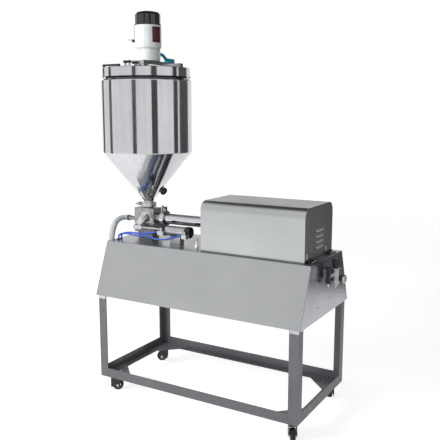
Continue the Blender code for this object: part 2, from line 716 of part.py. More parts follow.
def build_hood(root):
    """The hood, which tips up about its right-hand hinges, and what it rests against."""
    hood = empty("hood_axis", (HINGE_X, HOOD_Y, HINGE_Z), root)
    middle = (HOOD_X0 + HOOD_X1) / 2
    cover = plate("hood_cover", hood_outline(0), HOOD_LENGTH, "stainless", hood, (middle, 0, 0), ALONG_X)
    hollow = plate("hood_hollow", [(y, z - (PAST if z == HOOD_Z0 else 0)) for y, z in hood_outline(SHEET)],
                   HOOD_LENGTH - 2 * SHEET, "stainless", hood, (middle, 0, 0), ALONG_X)
    combine(cover, hollow, "DIFFERENCE")
    notch = [(-NOTCH_W / 2, HOOD_Z0 - PAST), (NOTCH_W / 2, HOOD_Z0 - PAST)]
    notch += arc((0, BORE_Z), NOTCH_W / 2, 0, 180, 12)
    combine(cover, plate("hood_notch", notch, 20 * MM, "stainless", hood, (HOOD_X0, 0, 0), ALONG_X),
            "DIFFERENCE")
    slot_y, slot_z = LOUVRE_SLOT
    bm = bmesh.new()
    for i in range(LOUVRE_COUNT):
        z = LOUVRE_TOP_Z - i * LOUVRE_PITCH
        add_box(bm, (HOOD_X1 - PAST, HOOD_Y - slot_y / 2, z - slot_z / 2),
                (HOOD_X1 + PAST, HOOD_Y + slot_y / 2, z + slot_z / 2))
    slots = from_bmesh("hood_louvre_slots", bm, "stainless", hood, (0, 0, 0))
    combine(cover, slots, "DIFFERENCE")

    leaf_w, leaf_l = HINGE_LEAF
    low = HINGE_Z + HINGE_R + GAP
    for name, y in zip(("front", "rear"), HINGE_YS):
        y0, y1 = y - leaf_l / 2, y + leaf_l / 2
        moving = boxes("hood_leaf_" + name, [((HOOD_X1 - HINGE_BITE, y0, low),
                                              (HOOD_X1 + HINGE_LEAF_T, y1, low + leaf_w))], "stainless", hood)
        combine(cover, moving, "UNION")
        fixed = boxes("hinge_leaf_" + name, [((HINGE_X - HINGE_R, y0, DECK_Z + GAP),
                                              (HINGE_X - HINGE_R + leaf_w, y1, DECK_Z + GAP + HINGE_LEAF_T))],
                      "dark_plastic", root)
        barrel = rods("hinge_barrel_" + name, [((HINGE_X, y0, HINGE_Z), (HINGE_X, y1, HINGE_Z), HINGE_R)],
                      "dark_plastic", root, 12)
        combine(fixed, barrel, "UNION")
    seat_y0, seat_y1 = HOOD_Y - HOOD_WIDTH / 2, HOOD_Y + HOOD_WIDTH / 2
    seat_low, seat_high = DECK_Z + GAP, HOOD_Z0 - GAP
    seat = boxes("hood_seat", [((HOOD_X0, seat_y0, seat_low), (HOOD_X1, seat_y1, seat_high))],
                 "dark_plastic", root)
    cut_box(seat, (HOOD_X0 + SEAT_IN, seat_y0 + SEAT_IN, seat_low - SEAT_IN),
            (HOOD_X1 - SEAT_IN, seat_y1 - SEAT_IN, seat_high + SEAT_IN))
    post = [(0, 39 * MM), (4 * MM, 39 * MM), (4 * MM, 18 * MM), (8 * MM, 13 * MM), (9 * MM, 8 * MM),
            (7 * MM, 2 * MM), (6 * MM, 0), (0, 0)]
    turned("hood_catch", post, "white_plastic", root, (*CATCH, DECK_Z + GAP), closed=False, sides=12)


# ================================================================ hopper
def build_hopper(root):
    """Hopper shell with its cone and neck ferrule."""
    wall = HOPPER_WALL
    seat_r = HOPPER_R - SHOULDER_IN
    top = RIM_Z + SHOULDER_H
    under = JOINT_Z + GAP / 2
    profile = [(seat_r, top), (HOPPER_R, RIM_Z), (HOPPER_R, CONE_TOP_Z), (NECK_R, CONE_END_Z),
               (NECK_R, under + FERRULE_T), (FERRULE_R, under + FERRULE_T), (FERRULE_R, under),
               (NECK_BORE, under), (NECK_BORE, CONE_END_Z), (HOPPER_R - wall, CONE_TOP_Z + wall),
               (HOPPER_R - wall, RIM_Z - wall), (seat_r - wall, top - wall), (seat_r - SEAT_W, top - wall),
               (seat_r - SEAT_W, top)]
    turned("hopper", profile, "polished_stainless", root, (HOPPER_X, 0, 0), sides=FINE_SIDES)

    slope = (HOPPER_R - NECK_R) / (CONE_TOP_Z - CONE_END_Z)
    height = 48 * MM
    radius = NECK_R + height * slope
    out = Vector((0.862, 0.507, 0))
    normal = (out - Vector((0, 0, slope))).normalized()
    foot = Vector((HOPPER_X, 0, CONE_END_Z + height)) + out * radius + normal * GAP
    dome = [(0, 24 * MM), (9 * MM, 23 * MM), (15 * MM, 19 * MM), (18 * MM, 12 * MM), (18 * MM, 5 * MM),
            (13 * MM, 0), (0, 0)]
    sensor = turned("level_sensor", dome, "dark_plastic", root, foot, closed=False, sides=16)
    sensor.rotation_mode = "QUATERNION"
    sensor.rotation_quaternion = normal.to_track_quat("Z", "Y")


def lid_blank(name, parent):
    """The whole lid, before its flap is parted."""
    seat = HOPPER_R - SHOULDER_IN - SEAT_W + 0.5 * MM
    hole = SHAFT_R + 7 * MM
    profile = [(hole, LID_TOP), (LID_R - LID_T, LID_TOP), (LID_R, LID_TOP - LID_T), (LID_R, LID_Z0),
               (seat, LID_Z0), (seat, LID_Z0 + LID_T), (LID_R - LID_T, LID_Z0 + LID_T),
               (LID_R - LID_T, LID_TOP - LID_T), (hole, LID_TOP - LID_T)]
    return turned(name, profile, "stainless", parent, (HOPPER_X, 0, 0), sides=FINE_SIDES)


def build_lid(root):
    """Fixed lid, its hinged feed flap with a bar handle, and the flap's hinges."""
    chord = HOPPER_X + FLAP_CHORD
    hinge_z = LID_TOP + LID_HINGE_R + GAP
    flap_axis = empty("flap_axis", (chord, 0, hinge_z), root)
    far = 250 * MM
    lid = lid_blank("lid", root)
    cut_box(lid, (chord - far, -far, LID_Z0 - far), (chord, far, LID_TOP + far))
    flap = lid_blank("lid_flap", flap_axis)
    cut_box(flap, (chord - FLAP_SLIT, -far, LID_Z0 - far), (chord + 2 * far, far, LID_TOP + far))
    drop = LID_HINGE_R + GAP + LID_T / 2
    for y in LID_HINGE_YS:
        knuckle = rods("lid_knuckle", [((chord, y - LID_HINGE_L / 2, hinge_z),
                                        (chord, y + LID_HINGE_L / 2, hinge_z), LID_HINGE_R)],
                       "stainless", root, 12)
        combine(lid, knuckle, "UNION")
        strap = boxes("lid_strap", [((chord + GAP, y - LID_HINGE_L / 2, hinge_z - drop),
                                     (chord + 14 * MM, y + LID_HINGE_L / 2, hinge_z - 1 * MM))],
                      "stainless", root)
        combine(lid, strap, "UNION")
    x0, x1 = HANDLE_X
    foot, leg = LID_TOP + GAP, 8 * MM
    top = foot + HANDLE_H
    outline = [(x0, foot), (x0, top), (x1, top), (x1, foot), (x1 - leg, foot), (x1 - leg, top - leg),
               (x0 + leg, top - leg), (x0 + leg, foot)]
    plate("flap_strap", outline, HANDLE_W, "dark_plastic", flap_axis, (0, HANDLE_Y, 0), ALONG_Y)
    for x in KNOB_XS:
        foot_z, head_z = LID_TOP - LID_T / 2, LID_TOP + KNOB_POST_H
        knob = [(0, head_z + KNOB_H), (KNOB_R, head_z + KNOB_H), (KNOB_R, head_z), (KNOB_POST_R, head_z),
                (KNOB_POST_R, foot_z), (0, foot_z)]
        combine(lid, turned("lid_knob", knob, "dark_plastic", root, (x, KNOB_Y, 0), closed=False, sides=12),
                "UNION")


def build_drive(root):
    """Beam, geared motor, its terminal box and the elbow behind it."""
    beam_low = (HOPPER_X + BEAM_X[0], BEAM_Y[0], BEAM_Z)
    beam_high = (HOPPER_X + BEAM_X[1], BEAM_Y[1], BEAM_Z + BEAM_T)
    foot_z = LID_TOP + GAP
    beam = boxes("motor_beam", [(beam_low, beam_high)], "painted_steel", root)
    for low_y, high_y in (POST_FRONT, POST_REAR):
        post = boxes("beam_post", [((beam_low[0] + 5 * MM, low_y, foot_z),
                                    (beam_high[0] - 5 * MM, high_y - WELD, BEAM_Z + WELD))],
                     "painted_steel", root)
        combine(beam, post, "UNION")
    block = boxes("beam_block", [((beam_high[0] - WELD, POST_REAR[0], foot_z),
                                  (HOPPER_X + SIDE_BLOCK_X, POST_REAR[1] - WELD, foot_z + SIDE_BLOCK_H))],
                  "painted_steel", root)
    combine(beam, block, "UNION")
    cut_rod(beam, (HOPPER_X, 0, BEAM_Z - PAST), (HOPPER_X, 0, BEAM_Z + BEAM_T + PAST),
            SHAFT_R + 3 * MM)

    place = (MOTOR_X, MOTOR_Y, 0)
    pass_r = ROTOR_SHAFT_R + RUNNING
    skin = 5 * MM
    top = DRIVE_Z + GEARBOX_H
    gearbox = rods("gearbox", [((*place[:2], DRIVE_Z), (*place[:2], top), GEARBOX_R)], "motor_cast", root,
                   SIDES)
    cut_rod(gearbox, (*place[:2], DRIVE_Z + skin), (*place[:2], top - skin), GEARBOX_R - skin, SIDES)
    cut_rod(gearbox, (*place[:2], top - 2 * skin), (*place[:2], top + skin), pass_r, 24)
    cut_rod(gearbox, (HOPPER_X, 0, DRIVE_Z - skin), (HOPPER_X, 0, DRIVE_Z + 2 * skin), SHAFT_R + RUNNING, 24)
    top = MOTOR_Z + MOTOR_H
    inner = MOTOR_R - MOTOR_WALL
    turned("motor_body", [(MOTOR_R, top), (MOTOR_R, MOTOR_Z + 8 * MM), (MOTOR_R - 6.5 * MM, MOTOR_Z),
                             (pass_r, MOTOR_Z), (pass_r, MOTOR_Z + 5 * MM),
                             (STATOR_BORE, MOTOR_Z + 10 * MM), (STATOR_BORE, top - 14 * MM),
                             (inner, top - 14 * MM), (inner, top)], "motor_cast", root, place)
    top = FAN_Z + FAN_COVER_H
    skin = 2 * MM
    outer = [(0, top), (30 * MM, top - 1 * MM), (48 * MM, top - 5 * MM), (FAN_COVER_R, top - 15 * MM),
             (FAN_COVER_R, FAN_Z)]
    inside = [(FAN_COVER_R - skin, FAN_Z), (FAN_COVER_R - skin, top - 16 * MM),
              (47 * MM, top - 7 * MM), (30 * MM, top - 3 * MM), (0, top - 2 * MM)]
    turned("fan_cover", outer + inside, "black_steel", root, place, closed=False)
    depth, width, height = TERMINAL_BOX
    face = MOTOR_X - MOTOR_R - GAP
    box_z = MOTOR_Z + MOTOR_H - height
    boxes("terminal_box", [((face - depth, MOTOR_Y - width / 2, box_z),
                            (face, MOTOR_Y + width / 2, box_z + height))], "motor_cast", root)

    rotor = empty("rotor_axis", (MOTOR_X, MOTOR_Y, MOTOR_Z), root)
    spin_r, fan_r = ROTOR_SHAFT_R, 45 * MM
    core = STATOR_BORE - 0.6 * MM
    base = MOTOR_Z
    turned("motor_rotor", [(0, base + 130 * MM), (spin_r, base + 130 * MM), (spin_r, base + 124 * MM),
                           (fan_r, base + 124 * MM), (fan_r, base + 114 * MM), (spin_r, base + 114 * MM),
                           (spin_r, base + 84 * MM), (core, base + 84 * MM), (core, base + 22 * MM),
                           (spin_r, base + 22 * MM), (spin_r, base - 24 * MM), (0, base - 24 * MM)],
           "aluminium", rotor, place, closed=False, sides=24)

    elbow_x = HOPPER_X + 18 * MM
    block_z = BEAM_Z + BEAM_T + GAP
    block = ((elbow_x - 12 * MM, 128 * MM, block_z), (elbow_x + 12 * MM, 176 * MM, block_z + 18 * MM))
    elbow = boxes("feed_elbow", [block], "blue_plastic", root)
    bend_r = 7 * MM
    gear_y = MOTOR_Y + math.sqrt(GEARBOX_R ** 2 - (elbow_x - MOTOR_X - bend_r) ** 2) + GAP
    rise = block_z + 32 * MM
    bend = [Vector((elbow_x, gear_y, rise)), Vector((elbow_x, gear_y + 14 * MM, rise + 1 * MM)),
            Vector((elbow_x, gear_y + 32 * MM, rise - 2 * MM)),
            Vector((elbow_x, gear_y + 48 * MM, rise - 12 * MM)), Vector((elbow_x, 140 * MM, block_z + 9 * MM))]
    curve = pipe("feed_elbow_bend", bend, bend_r, "blue_plastic", root, 3)
    bend_mesh = curve_to_mesh(curve, root)
    combine(elbow, bend_mesh, "UNION")


def curve_to_mesh(item, parent):
    """Replace a curve object by a closed mesh that can cut or join."""
    name = item.name
    bpy.context.view_layer.update()
    mesh = bpy.data.meshes.new_from_object(item.evaluated_get(bpy.context.evaluated_depsgraph_get()))
    item.name = name + "_curve"
    bm = bmesh.new()
    bm.from_mesh(mesh)
    bmesh.ops.remove_doubles(bm, verts=bm.verts, dist=0.01 * MM)
    bmesh.ops.recalc_face_normals(bm, faces=bm.faces)
    bm.to_mesh(mesh)
    bm.free()
    bpy.data.objects.remove(item)
    return as_object(name, mesh, "blue_plastic", parent)


def build_stirrer(root):
    """Stirrer shaft with two pitched paddles, turned by the gearbox."""
    axis = empty("stirrer_axis", (HOPPER_X, 0, DRIVE_Z), root)
    top = DRIVE_Z + SHAFT_TOP_UP
    stirrer = rods("stirrer", [((HOPPER_X, 0, SHAFT_TIP_Z), (HOPPER_X, 0, top), SHAFT_R)],
                   "stainless", axis, 16)
    for index, (z, reach) in enumerate(PADDLES):
        bm = bmesh.new()
        add_box(bm, (-reach, -PADDLE_W / 2, -PADDLE_T / 2), (reach, PADDLE_W / 2, PADDLE_T / 2))
        paddle = from_bmesh("paddle_%d" % index, bm, "stainless", axis, (HOPPER_X, 0, z),
                            (PADDLE_PITCH, 0, 90 * index))
        combine(stirrer, paddle, "UNION")
        collar = rods("collar_%d" % index, [((HOPPER_X, 0, z - 15 * MM), (HOPPER_X, 0, z + 15 * MM), COLLAR_R)],
                      "stainless", axis, 20)
        combine(stirrer, collar, "UNION")


# ================================================================ rotary valve
def build_valve(root):
    """Valve block on its mount, with its ports, and the plug that joins them."""
    half = VALVE_D / 2
    body = boxes("valve_body", [((VALVE_X[0], -half, VALVE_Z[0]), (VALVE_X[1], half, VALVE_Z[1]))],
                 "stainless", root)
    bite = 4 * MM
    top_face = JOINT_Z - GAP / 2
    neck = turned("valve_neck", [(0, top_face), (FERRULE_R, top_face), (FERRULE_R, top_face - FERRULE_T),
                                 (NECK_R, top_face - FERRULE_T), (NECK_R, VALVE_Z[1] - bite),
                                 (0, VALVE_Z[1] - bite)], "stainless", root, (HOPPER_X, 0, 0), closed=False)
    combine(body, neck, "UNION")
    face = TUBE_FLANGE_X - GAP / 2
    port = turned("valve_port", [(0, face), (FLANGE_R, face), (FLANGE_R, face - FERRULE_T),
                                 (TUBE_OR, face - FERRULE_T), (TUBE_OR, VALVE_X[1] - bite),
                                 (0, VALVE_X[1] - bite)], "stainless", root, (0, 0, BORE_Z), TURN_X, False)
    combine(body, port, "UNION")
    cut_rod(body, (PLUG_X, -half - bite, BORE_Z), (PLUG_X, half + bite, BORE_Z), PLUG_R + RUNNING, SIDES)
    cut_rod(body, (HOPPER_X, 0, BORE_Z + 20 * MM), (HOPPER_X, 0, JOINT_Z + bite), NECK_BORE, 26)
    step = PISTON_REST_X - 2 * MM
    port_bore = [(0, face + bite), (TUBE_IR, face + bite), (TUBE_IR, step), (PORT_R, step),
                 (PORT_R, PLUG_X + 20 * MM), (0, PLUG_X + 20 * MM)]
    combine(body, turned("valve_port_bore", port_bore, "stainless", root, (0, 0, BORE_Z), TURN_X, False),
            "DIFFERENCE")
    foot = boxes("valve_foot", [((VALVE_X[0] + 14 * MM, -25 * MM, DECK_Z + GAP),
                                 (VALVE_X[1] - 14 * MM, 25 * MM, VALVE_Z[0] + bite))], "stainless", root)
    combine(body, foot, "UNION")
    spout = rods("valve_spout", [((VALVE_X[0] + bite, OUTLET_Y, OUTLET_Z),
                                  (OUTLET_END_X, OUTLET_Y, OUTLET_Z), OUTLET_R)], "stainless", root, 20)
    combine(body, spout, "UNION")
    cut_rod(body, (PLUG_X - 20 * MM, OUTLET_Y, OUTLET_Z), (OUTLET_END_X - bite, OUTLET_Y, OUTLET_Z),
            OUTLET_BORE, 16)
    for modifier in body.modifiers:
        modifier.solver = "MANIFOLD"

    axis = empty("plug_axis", (PLUG_X, 0, BORE_Z), root)
    tail = half + 3 * MM
    plug = turned("valve_plug", [(0, LEVER_T / 2 - LEVER_Y + 3 * MM), (STUB_R, LEVER_T / 2 - LEVER_Y + 3 * MM),
                                 (STUB_R, half + BOSS_L), (BOSS_R, half + BOSS_L), (BOSS_R, half + GAP),
                                 (PLUG_R, half - GAP), (PLUG_R, -tail), (0, -tail)],
                  "polished_stainless", axis, (PLUG_X, 0, BORE_Z), TURN_MINUS_Y, False)
    for tool_end in ((1, 0), (-1, 0), (0, -1)):
        reach = PLUG_R + PAST
        start = Vector((PLUG_X, 0, BORE_Z)) - 3 * MM * Vector((tool_end[0], 0, tool_end[1]))
        end = Vector((PLUG_X + tool_end[0] * reach, 0, BORE_Z + tool_end[1] * reach))
        cut_rod(plug, start, end, PORT_R, 20)

    tip_r = LEVER_DROP * math.sqrt(2)
    outline = arc((0, 0), LEVER_HUB_R, 60, 300, 10) + arc((tip_r, 0), LEVER_TIP_R, -90, 90, 8)
    slot_in = LEVER_DROP - PIN_R - 1 * MM
    slot_out = tip_r + PIN_R + 1 * MM
    slot = [(slot_in, -SLOT_HALF), (slot_in, SLOT_HALF), (slot_out, SLOT_HALF), (slot_out, -SLOT_HALF)]
    hub_hole = arc((0, 0), STUB_R + GAP, 0, 345, 15)
    plate("valve_lever", outline, LEVER_T, "stainless", axis, (PLUG_X, LEVER_Y, BORE_Z),
          (90, -LEVER_REST, 0), (slot, hub_hole))


def build_actuator(root):
    """Small air cylinder that swings the valve's lever, its fittings and its air tubes."""
    x0 = ACTUATOR_FRONT_X
    front_wall, back_wall = ACTUATOR_FRONT_WALL, ACTUATOR_BACK_WALL
    piston_x = x0 + front_wall + ACTUATOR_STOP
    x1 = piston_x + ACTUATOR_PISTON_T + ACTUATOR_STROKE + ACTUATOR_SPARE - ACTUATOR_STOP + back_wall
    place = (0, LEVER_Y, ROD_Z)
    barrel = turned("actuator_cylinder", [
        (0, x1), (ACTUATOR_R, x1), (ACTUATOR_R, x0), (ACTUATOR_ROD_R + RUNNING, x0),
        (ACTUATOR_ROD_R + RUNNING, x0 + front_wall), (ACTUATOR_BORE, x0 + front_wall),
        (ACTUATOR_BORE, x1 - back_wall), (0, x1 - back_wall)], "aluminium", root, place, TURN_X, False, 24)
    foot = boxes("actuator_foot", [((x0 + ACTUATOR_FOOT_IN, LEVER_Y - ACTUATOR_FOOT_HALF, DECK_Z + GAP),
                                    (x1 - ACTUATOR_FOOT_IN, LEVER_Y + ACTUATOR_FOOT_HALF,
                                     ROD_Z - ACTUATOR_R + WELD))], "aluminium", root)
    combine(barrel, foot, "UNION")

    rod = empty("actuator_rod_axis", (PIN_X, LEVER_Y, ROD_Z), root)
    cheek_in = LEVER_T / 2 + CLEVIS_PLAY
    cheek_out = cheek_in + CLEVIS_CHEEK
    base_x = PIN_X + CLEVIS_BASE
    outline = [(PIN_X - CLEVIS_HALF_H, cheek_in), (PIN_X - CLEVIS_HALF_H, cheek_out), (base_x + 10 * MM, cheek_out),
               (base_x + 10 * MM, -cheek_out), (PIN_X - CLEVIS_HALF_H, -cheek_out), (PIN_X - CLEVIS_HALF_H, -cheek_in),
               (base_x, -cheek_in), (base_x, cheek_in)]
    clevis = plate("actuator_rod", outline, 2 * CLEVIS_HALF_H, "stainless", rod, (0, LEVER_Y, ROD_Z), (0, 0, 0))
    for name, start, end, radius in (("rod", base_x + 5 * MM, piston_x + 2 * MM, ACTUATOR_ROD_R),
                                     ("piston", piston_x, piston_x + ACTUATOR_PISTON_T, ACTUATOR_BORE - RUNNING)):
        tool = rods("actuator_" + name + "_part", [((start, LEVER_Y, ROD_Z), (end, LEVER_Y, ROD_Z), radius)],
                    "stainless", rod, 24)
        combine(clevis, tool, "UNION")
    pin = rods("clevis_pin", [((PIN_X, LEVER_Y - cheek_out - 1 * MM, ROD_Z),
                               (PIN_X, LEVER_Y + cheek_out + 1 * MM, ROD_Z), PIN_R)], "stainless", rod, 12)
    combine(clevis, pin, "UNION")

    front = LEVER_Y - ACTUATOR_R - GAP
    walls = ((x0 - 20 * MM, x0 + front_wall - 1 * MM), (x1 - back_wall + 1 * MM, x1 + 16 * MM))
    starts = []
    for index, ((low, high), drop) in enumerate(zip(walls, PORT_DROPS)):
        z = ROD_Z - drop
        reach, half = PORT_BLOCK
        elbow = boxes("port_%d" % index, [((low, front - reach, z - half), (high, front + PORT_IN, z + half))],
                      "dark_plastic", root)
        combine(barrel, elbow, "UNION")
        knob = rods("port_knob_%d" % index, [(((low + high) / 2, front - reach / 2, z + half - WELD),
                                              ((low + high) / 2, front - reach / 2, z + 22 * MM),
                                              PORT_KNOB_R)],
                    "dark_plastic", root, 12)
        combine(barrel, knob, "UNION")
        starts.append(Vector((low - 2 * GAP, front - reach / 2, z)))
    build_air_tubes(root, starts)


def build_air_tubes(root, starts):
    """Two air tubes from the actuator's ports, along the deck and down into it at the left end."""
    for index, (start, (end_x, end_y)) in enumerate(zip(starts, GROMMETS)):
        side = index * 11 * MM
        lead = Vector((-12 * MM, 0, 0))
        route = [start, start + lead]
        if index:
            route.append(start + Vector((-32 * MM, -7 * MM, -4 * MM)))
            route.append(start + Vector((-70 * MM, -20 * MM, -16 * MM)))
            route.append(start + Vector((-130 * MM, -20 * MM, -20 * MM)))
        route += [Vector((END_X + 183 * MM, start.y - 3 * MM - side, ROD_Z - 13 * MM - side)),
                  Vector((END_X + 138 * MM, start.y - 6 * MM - side, ROD_Z - 19 * MM - side)),
                  Vector((END_X + 88 * MM, start.y - 6 * MM - side, ROD_Z - 20 * MM - side / 2)),
                  Vector((end_x + 26 * MM, end_y, ROD_Z - 24 * MM)),
                  Vector((end_x + 7 * MM, end_y, ROD_Z - 31 * MM)),
                  Vector((end_x, end_y, DECK_Z + 16 * MM)), Vector((end_x, end_y, DECK_Z + 8 * MM)),
                  Vector((end_x, end_y, DECK_Z + GAP))]
        pipe("air_tube_" + ("front", "rear")[index], route, TUBE_R, "blue_tube", root, 2)


# ================================================================ product side
def build_product_cylinder(root):
    """Measuring cylinder, its piston and the rod that the air cylinder drives."""
    face = TUBE_FLANGE_X + GAP / 2
    turned("product_cylinder", [(TUBE_OR, TUBE_END_X), (TUBE_OR, face + FERRULE_T),
                                (FLANGE_R, face + FERRULE_T), (FLANGE_R, face), (TUBE_IR, face),
                                (TUBE_IR, TUBE_END_X)], "polished_stainless", root, (0, 0, BORE_Z), TURN_X)
    support = boxes("tube_support", [((SUPPORT_X, -SUPPORT_HALF, DECK_Z + GAP),
                                      (SUPPORT_X + SUPPORT_T, SUPPORT_HALF, BORE_Z + SUPPORT_HALF))],
                    "aluminium", root)
    cut_rod(support, (0, 0, BORE_Z), (40 * MM, 0, BORE_Z), TUBE_OR + GAP, SIDES)

    axis = empty("piston_axis", (PISTON_REST_X, 0, BORE_Z), root)
    x0 = PISTON_REST_X
    x1 = x0 + PISTON_L
    turned("product_piston", [(0, x1), (12 * MM, x1), (TUBE_IR - RUNNING, x1 - 1 * MM),
                              (TUBE_IR - RUNNING, x0), (0, x0)],
           "ptfe", axis, (0, 0, BORE_Z), TURN_X, False, 24)
    air_x0 = AIR_X + AIR_CAP_T + 2 * MM
    air_x1 = air_x0 + AIR_PISTON_T
    turned("drive_rod", [(0, air_x1), (AIR_BORE - RUNNING, air_x1), (AIR_BORE - RUNNING, air_x0),
                          (ROD_R, air_x0), (ROD_R, x1 + GAP), (0, x1 + GAP)],
           "polished_stainless", axis, (0, 0, BORE_Z), TURN_X, False, 24)


def build_air_cylinder(root):
    """Air cylinder under the hood: barrel, two foot caps and tie rods."""
    inner = STROKE + AIR_PISTON_T + AIR_CUSHION
    x0 = AIR_X + AIR_CAP_T + GAP
    x1 = x0 + inner
    turned("air_cylinder_barrel", [(AIR_OR, x1), (AIR_OR, x0), (AIR_BORE, x0), (AIR_BORE, x1)],
           "aluminium", root, (0, 0, BORE_Z), TURN_X)
    half = AIR_CAP_W / 2
    top = BORE_Z + half
    caps = boxes("air_cylinder_caps", [
        ((AIR_X, -half, DECK_Z + GAP), (AIR_X + AIR_CAP_T, half, top)),
        ((x1 + GAP, -half, DECK_Z + GAP), (x1 + GAP + AIR_CAP_T, half, top))], "aluminium", root)
    cut_rod(caps, (AIR_X - PAST, 0, BORE_Z), (AIR_X + AIR_CAP_T + PAST, 0, BORE_Z), ROD_R + RUNNING, 24)
    tie = half - TIE_ROD_R - 4 * MM
    ties = []
    for y in (-tie, tie):
        for z in (BORE_Z - tie, BORE_Z + tie):
            ties.append(((x0 - TIE_BITE, y, z), (x1 + TIE_BITE, y, z), TIE_ROD_R))
    tie_rods = rods("tie_rods", ties, "stainless", root, 8)
    combine(caps, tie_rods, "UNION")


def build_clamp(name, parent, centre, rotation, pipe_r, flange_r):
    """A clamp ring over two ferrules: axis local Z, ears at local +X, bolt along local Y."""
    half = CLAMP_W / 2
    lip = FERRULE_T + GAP + 1 * MM
    profile = [(CLAMP_R, half), (CLAMP_R, -half), (pipe_r + 2 * MM, -half), (pipe_r + 2 * MM, -lip),
               (flange_r + 0.5 * MM, -lip + 0.6 * MM), (flange_r + 0.5 * MM, lip - 0.6 * MM),
               (pipe_r + 2 * MM, lip), (pipe_r + 2 * MM, half)]
    ring = turned(name, profile, "stainless", parent, centre, rotation)
    turn = ring.rotation_euler.to_matrix().to_4x4()
    spot = Matrix.Translation(centre) @ turn
    bm = bmesh.new()
    reach = CLAMP_R + EAR_REACH
    add_box(bm, (CLAMP_R - 4 * MM, -EAR_W / 2, -half + 3 * MM), (reach, EAR_W / 2, half - 3 * MM))
    add_rod(bm, (reach - BOLT_IN, 0, 0), (reach - BOLT_IN, -EAR_W / 2 - WING_BOLT_L, 0), WING_BOLT_R, 10)
    bmesh.ops.transform(bm, matrix=spot, verts=bm.verts)
    combine(ring, from_bmesh(name + "_ears", bm, "stainless", parent), "UNION")
    return spot @ Vector((reach - BOLT_IN, -EAR_W / 2 - GAP, 0)), turn


def nut_piece(name, bm, axis, spot, turn):
    """Turn one shape of a wing nut onto its bolt."""
    bmesh.ops.transform(bm, matrix=turn, verts=bm.verts)
    return from_bmesh(name, bm, "stainless", axis, spot)


def wing_nut(name, root, spot, turn):
    """A wing nut whose axis is the clamp bolt's."""
    axis = empty(name + "_axis", spot, root)
    barrel = bmesh.new()
    add_rod(barrel, (0, 0, 0), (0, -NUT_H, 0), NUT_R, 12)
    nut = nut_piece(name, barrel, axis, spot, turn)
    wings = bmesh.new()
    add_box(wings, (-WING_HALF, -1.5 * NUT_H, -WING_T / 2), (WING_HALF, -NUT_H / 2, WING_T / 2))
    combine(nut, nut_piece(name + "_wings", wings, axis, spot, turn), "UNION")
    thread = bmesh.new()
    add_rod(thread, (0, PAST, 0), (0, -2 * NUT_H, 0), WING_BOLT_R + RUNNING, 12)
    combine(nut, nut_piece(name + "_thread", thread, axis, spot, turn), "DIFFERENCE")


def build_clamps(root):
    """The clamps on the hopper's neck and on the product cylinder, each with a wing nut."""
    for name, centre, rotation, pipe_r, flange_r in (
            ("neck_clamp", (HOPPER_X, 0, JOINT_Z), (180, 0, 180), NECK_R, FERRULE_R),
            ("cylinder_clamp", (TUBE_FLANGE_X, 0, BORE_Z), (0, -90, 0), TUBE_OR, FLANGE_R)):
        spot, turn = build_clamp(name, root, Vector(centre), rotation, pipe_r, flange_r)
        wing_nut(name + "_nut", root, spot, turn)


def build_outlet(root):
    """Hose from the valve's spout, and the nozzle on its bracket at the left end."""
    points = [Vector((END_X, 0, 0)) + Vector(point) * MM for point in HOSE_POINTS]
    pipe("outlet_hose", points, HOSE_R, "hose", root, 3)
    below = HOSE_POINTS[-1][2] * MM - GAP
    profile = [(0, below), (NOZZLE_R + 3 * MM, below), (NOZZLE_R + 3 * MM, below - 10 * MM),
               (NOZZLE_R, below - 12 * MM), (NOZZLE_R, NOZZLE_TIP_Z + 30 * MM),
               (NOZZLE_TIP_R, NOZZLE_TIP_Z + 20 * MM), (NOZZLE_TIP_R, NOZZLE_TIP_Z), (0, NOZZLE_TIP_Z)]
    nozzle = turned("nozzle", profile, "polished_stainless", root, (NOZZLE_X, NOZZLE_Y, 0),
                    closed=False, sides=24)
    face = -CABINET_LENGTH / 2 - GAP
    half = NOZZLE_R + 7 * MM
    bracket = boxes("nozzle_bracket", [((face - 4 * MM, NOZZLE_Y - 25 * MM, NOZZLE_ARM_Z - 30 * MM),
                                        (face, NOZZLE_Y + 25 * MM, NOZZLE_ARM_Z + 30 * MM))],
                    "stainless", root)
    arm = boxes("nozzle_arm", [((NOZZLE_X - half, NOZZLE_Y - half, NOZZLE_ARM_Z - 5 * MM),
                                (face - 2 * MM, NOZZLE_Y + half, NOZZLE_ARM_Z + 5 * MM))], "stainless", root)
    combine(nozzle, arm, "UNION")
    combine(nozzle, bracket, "UNION")


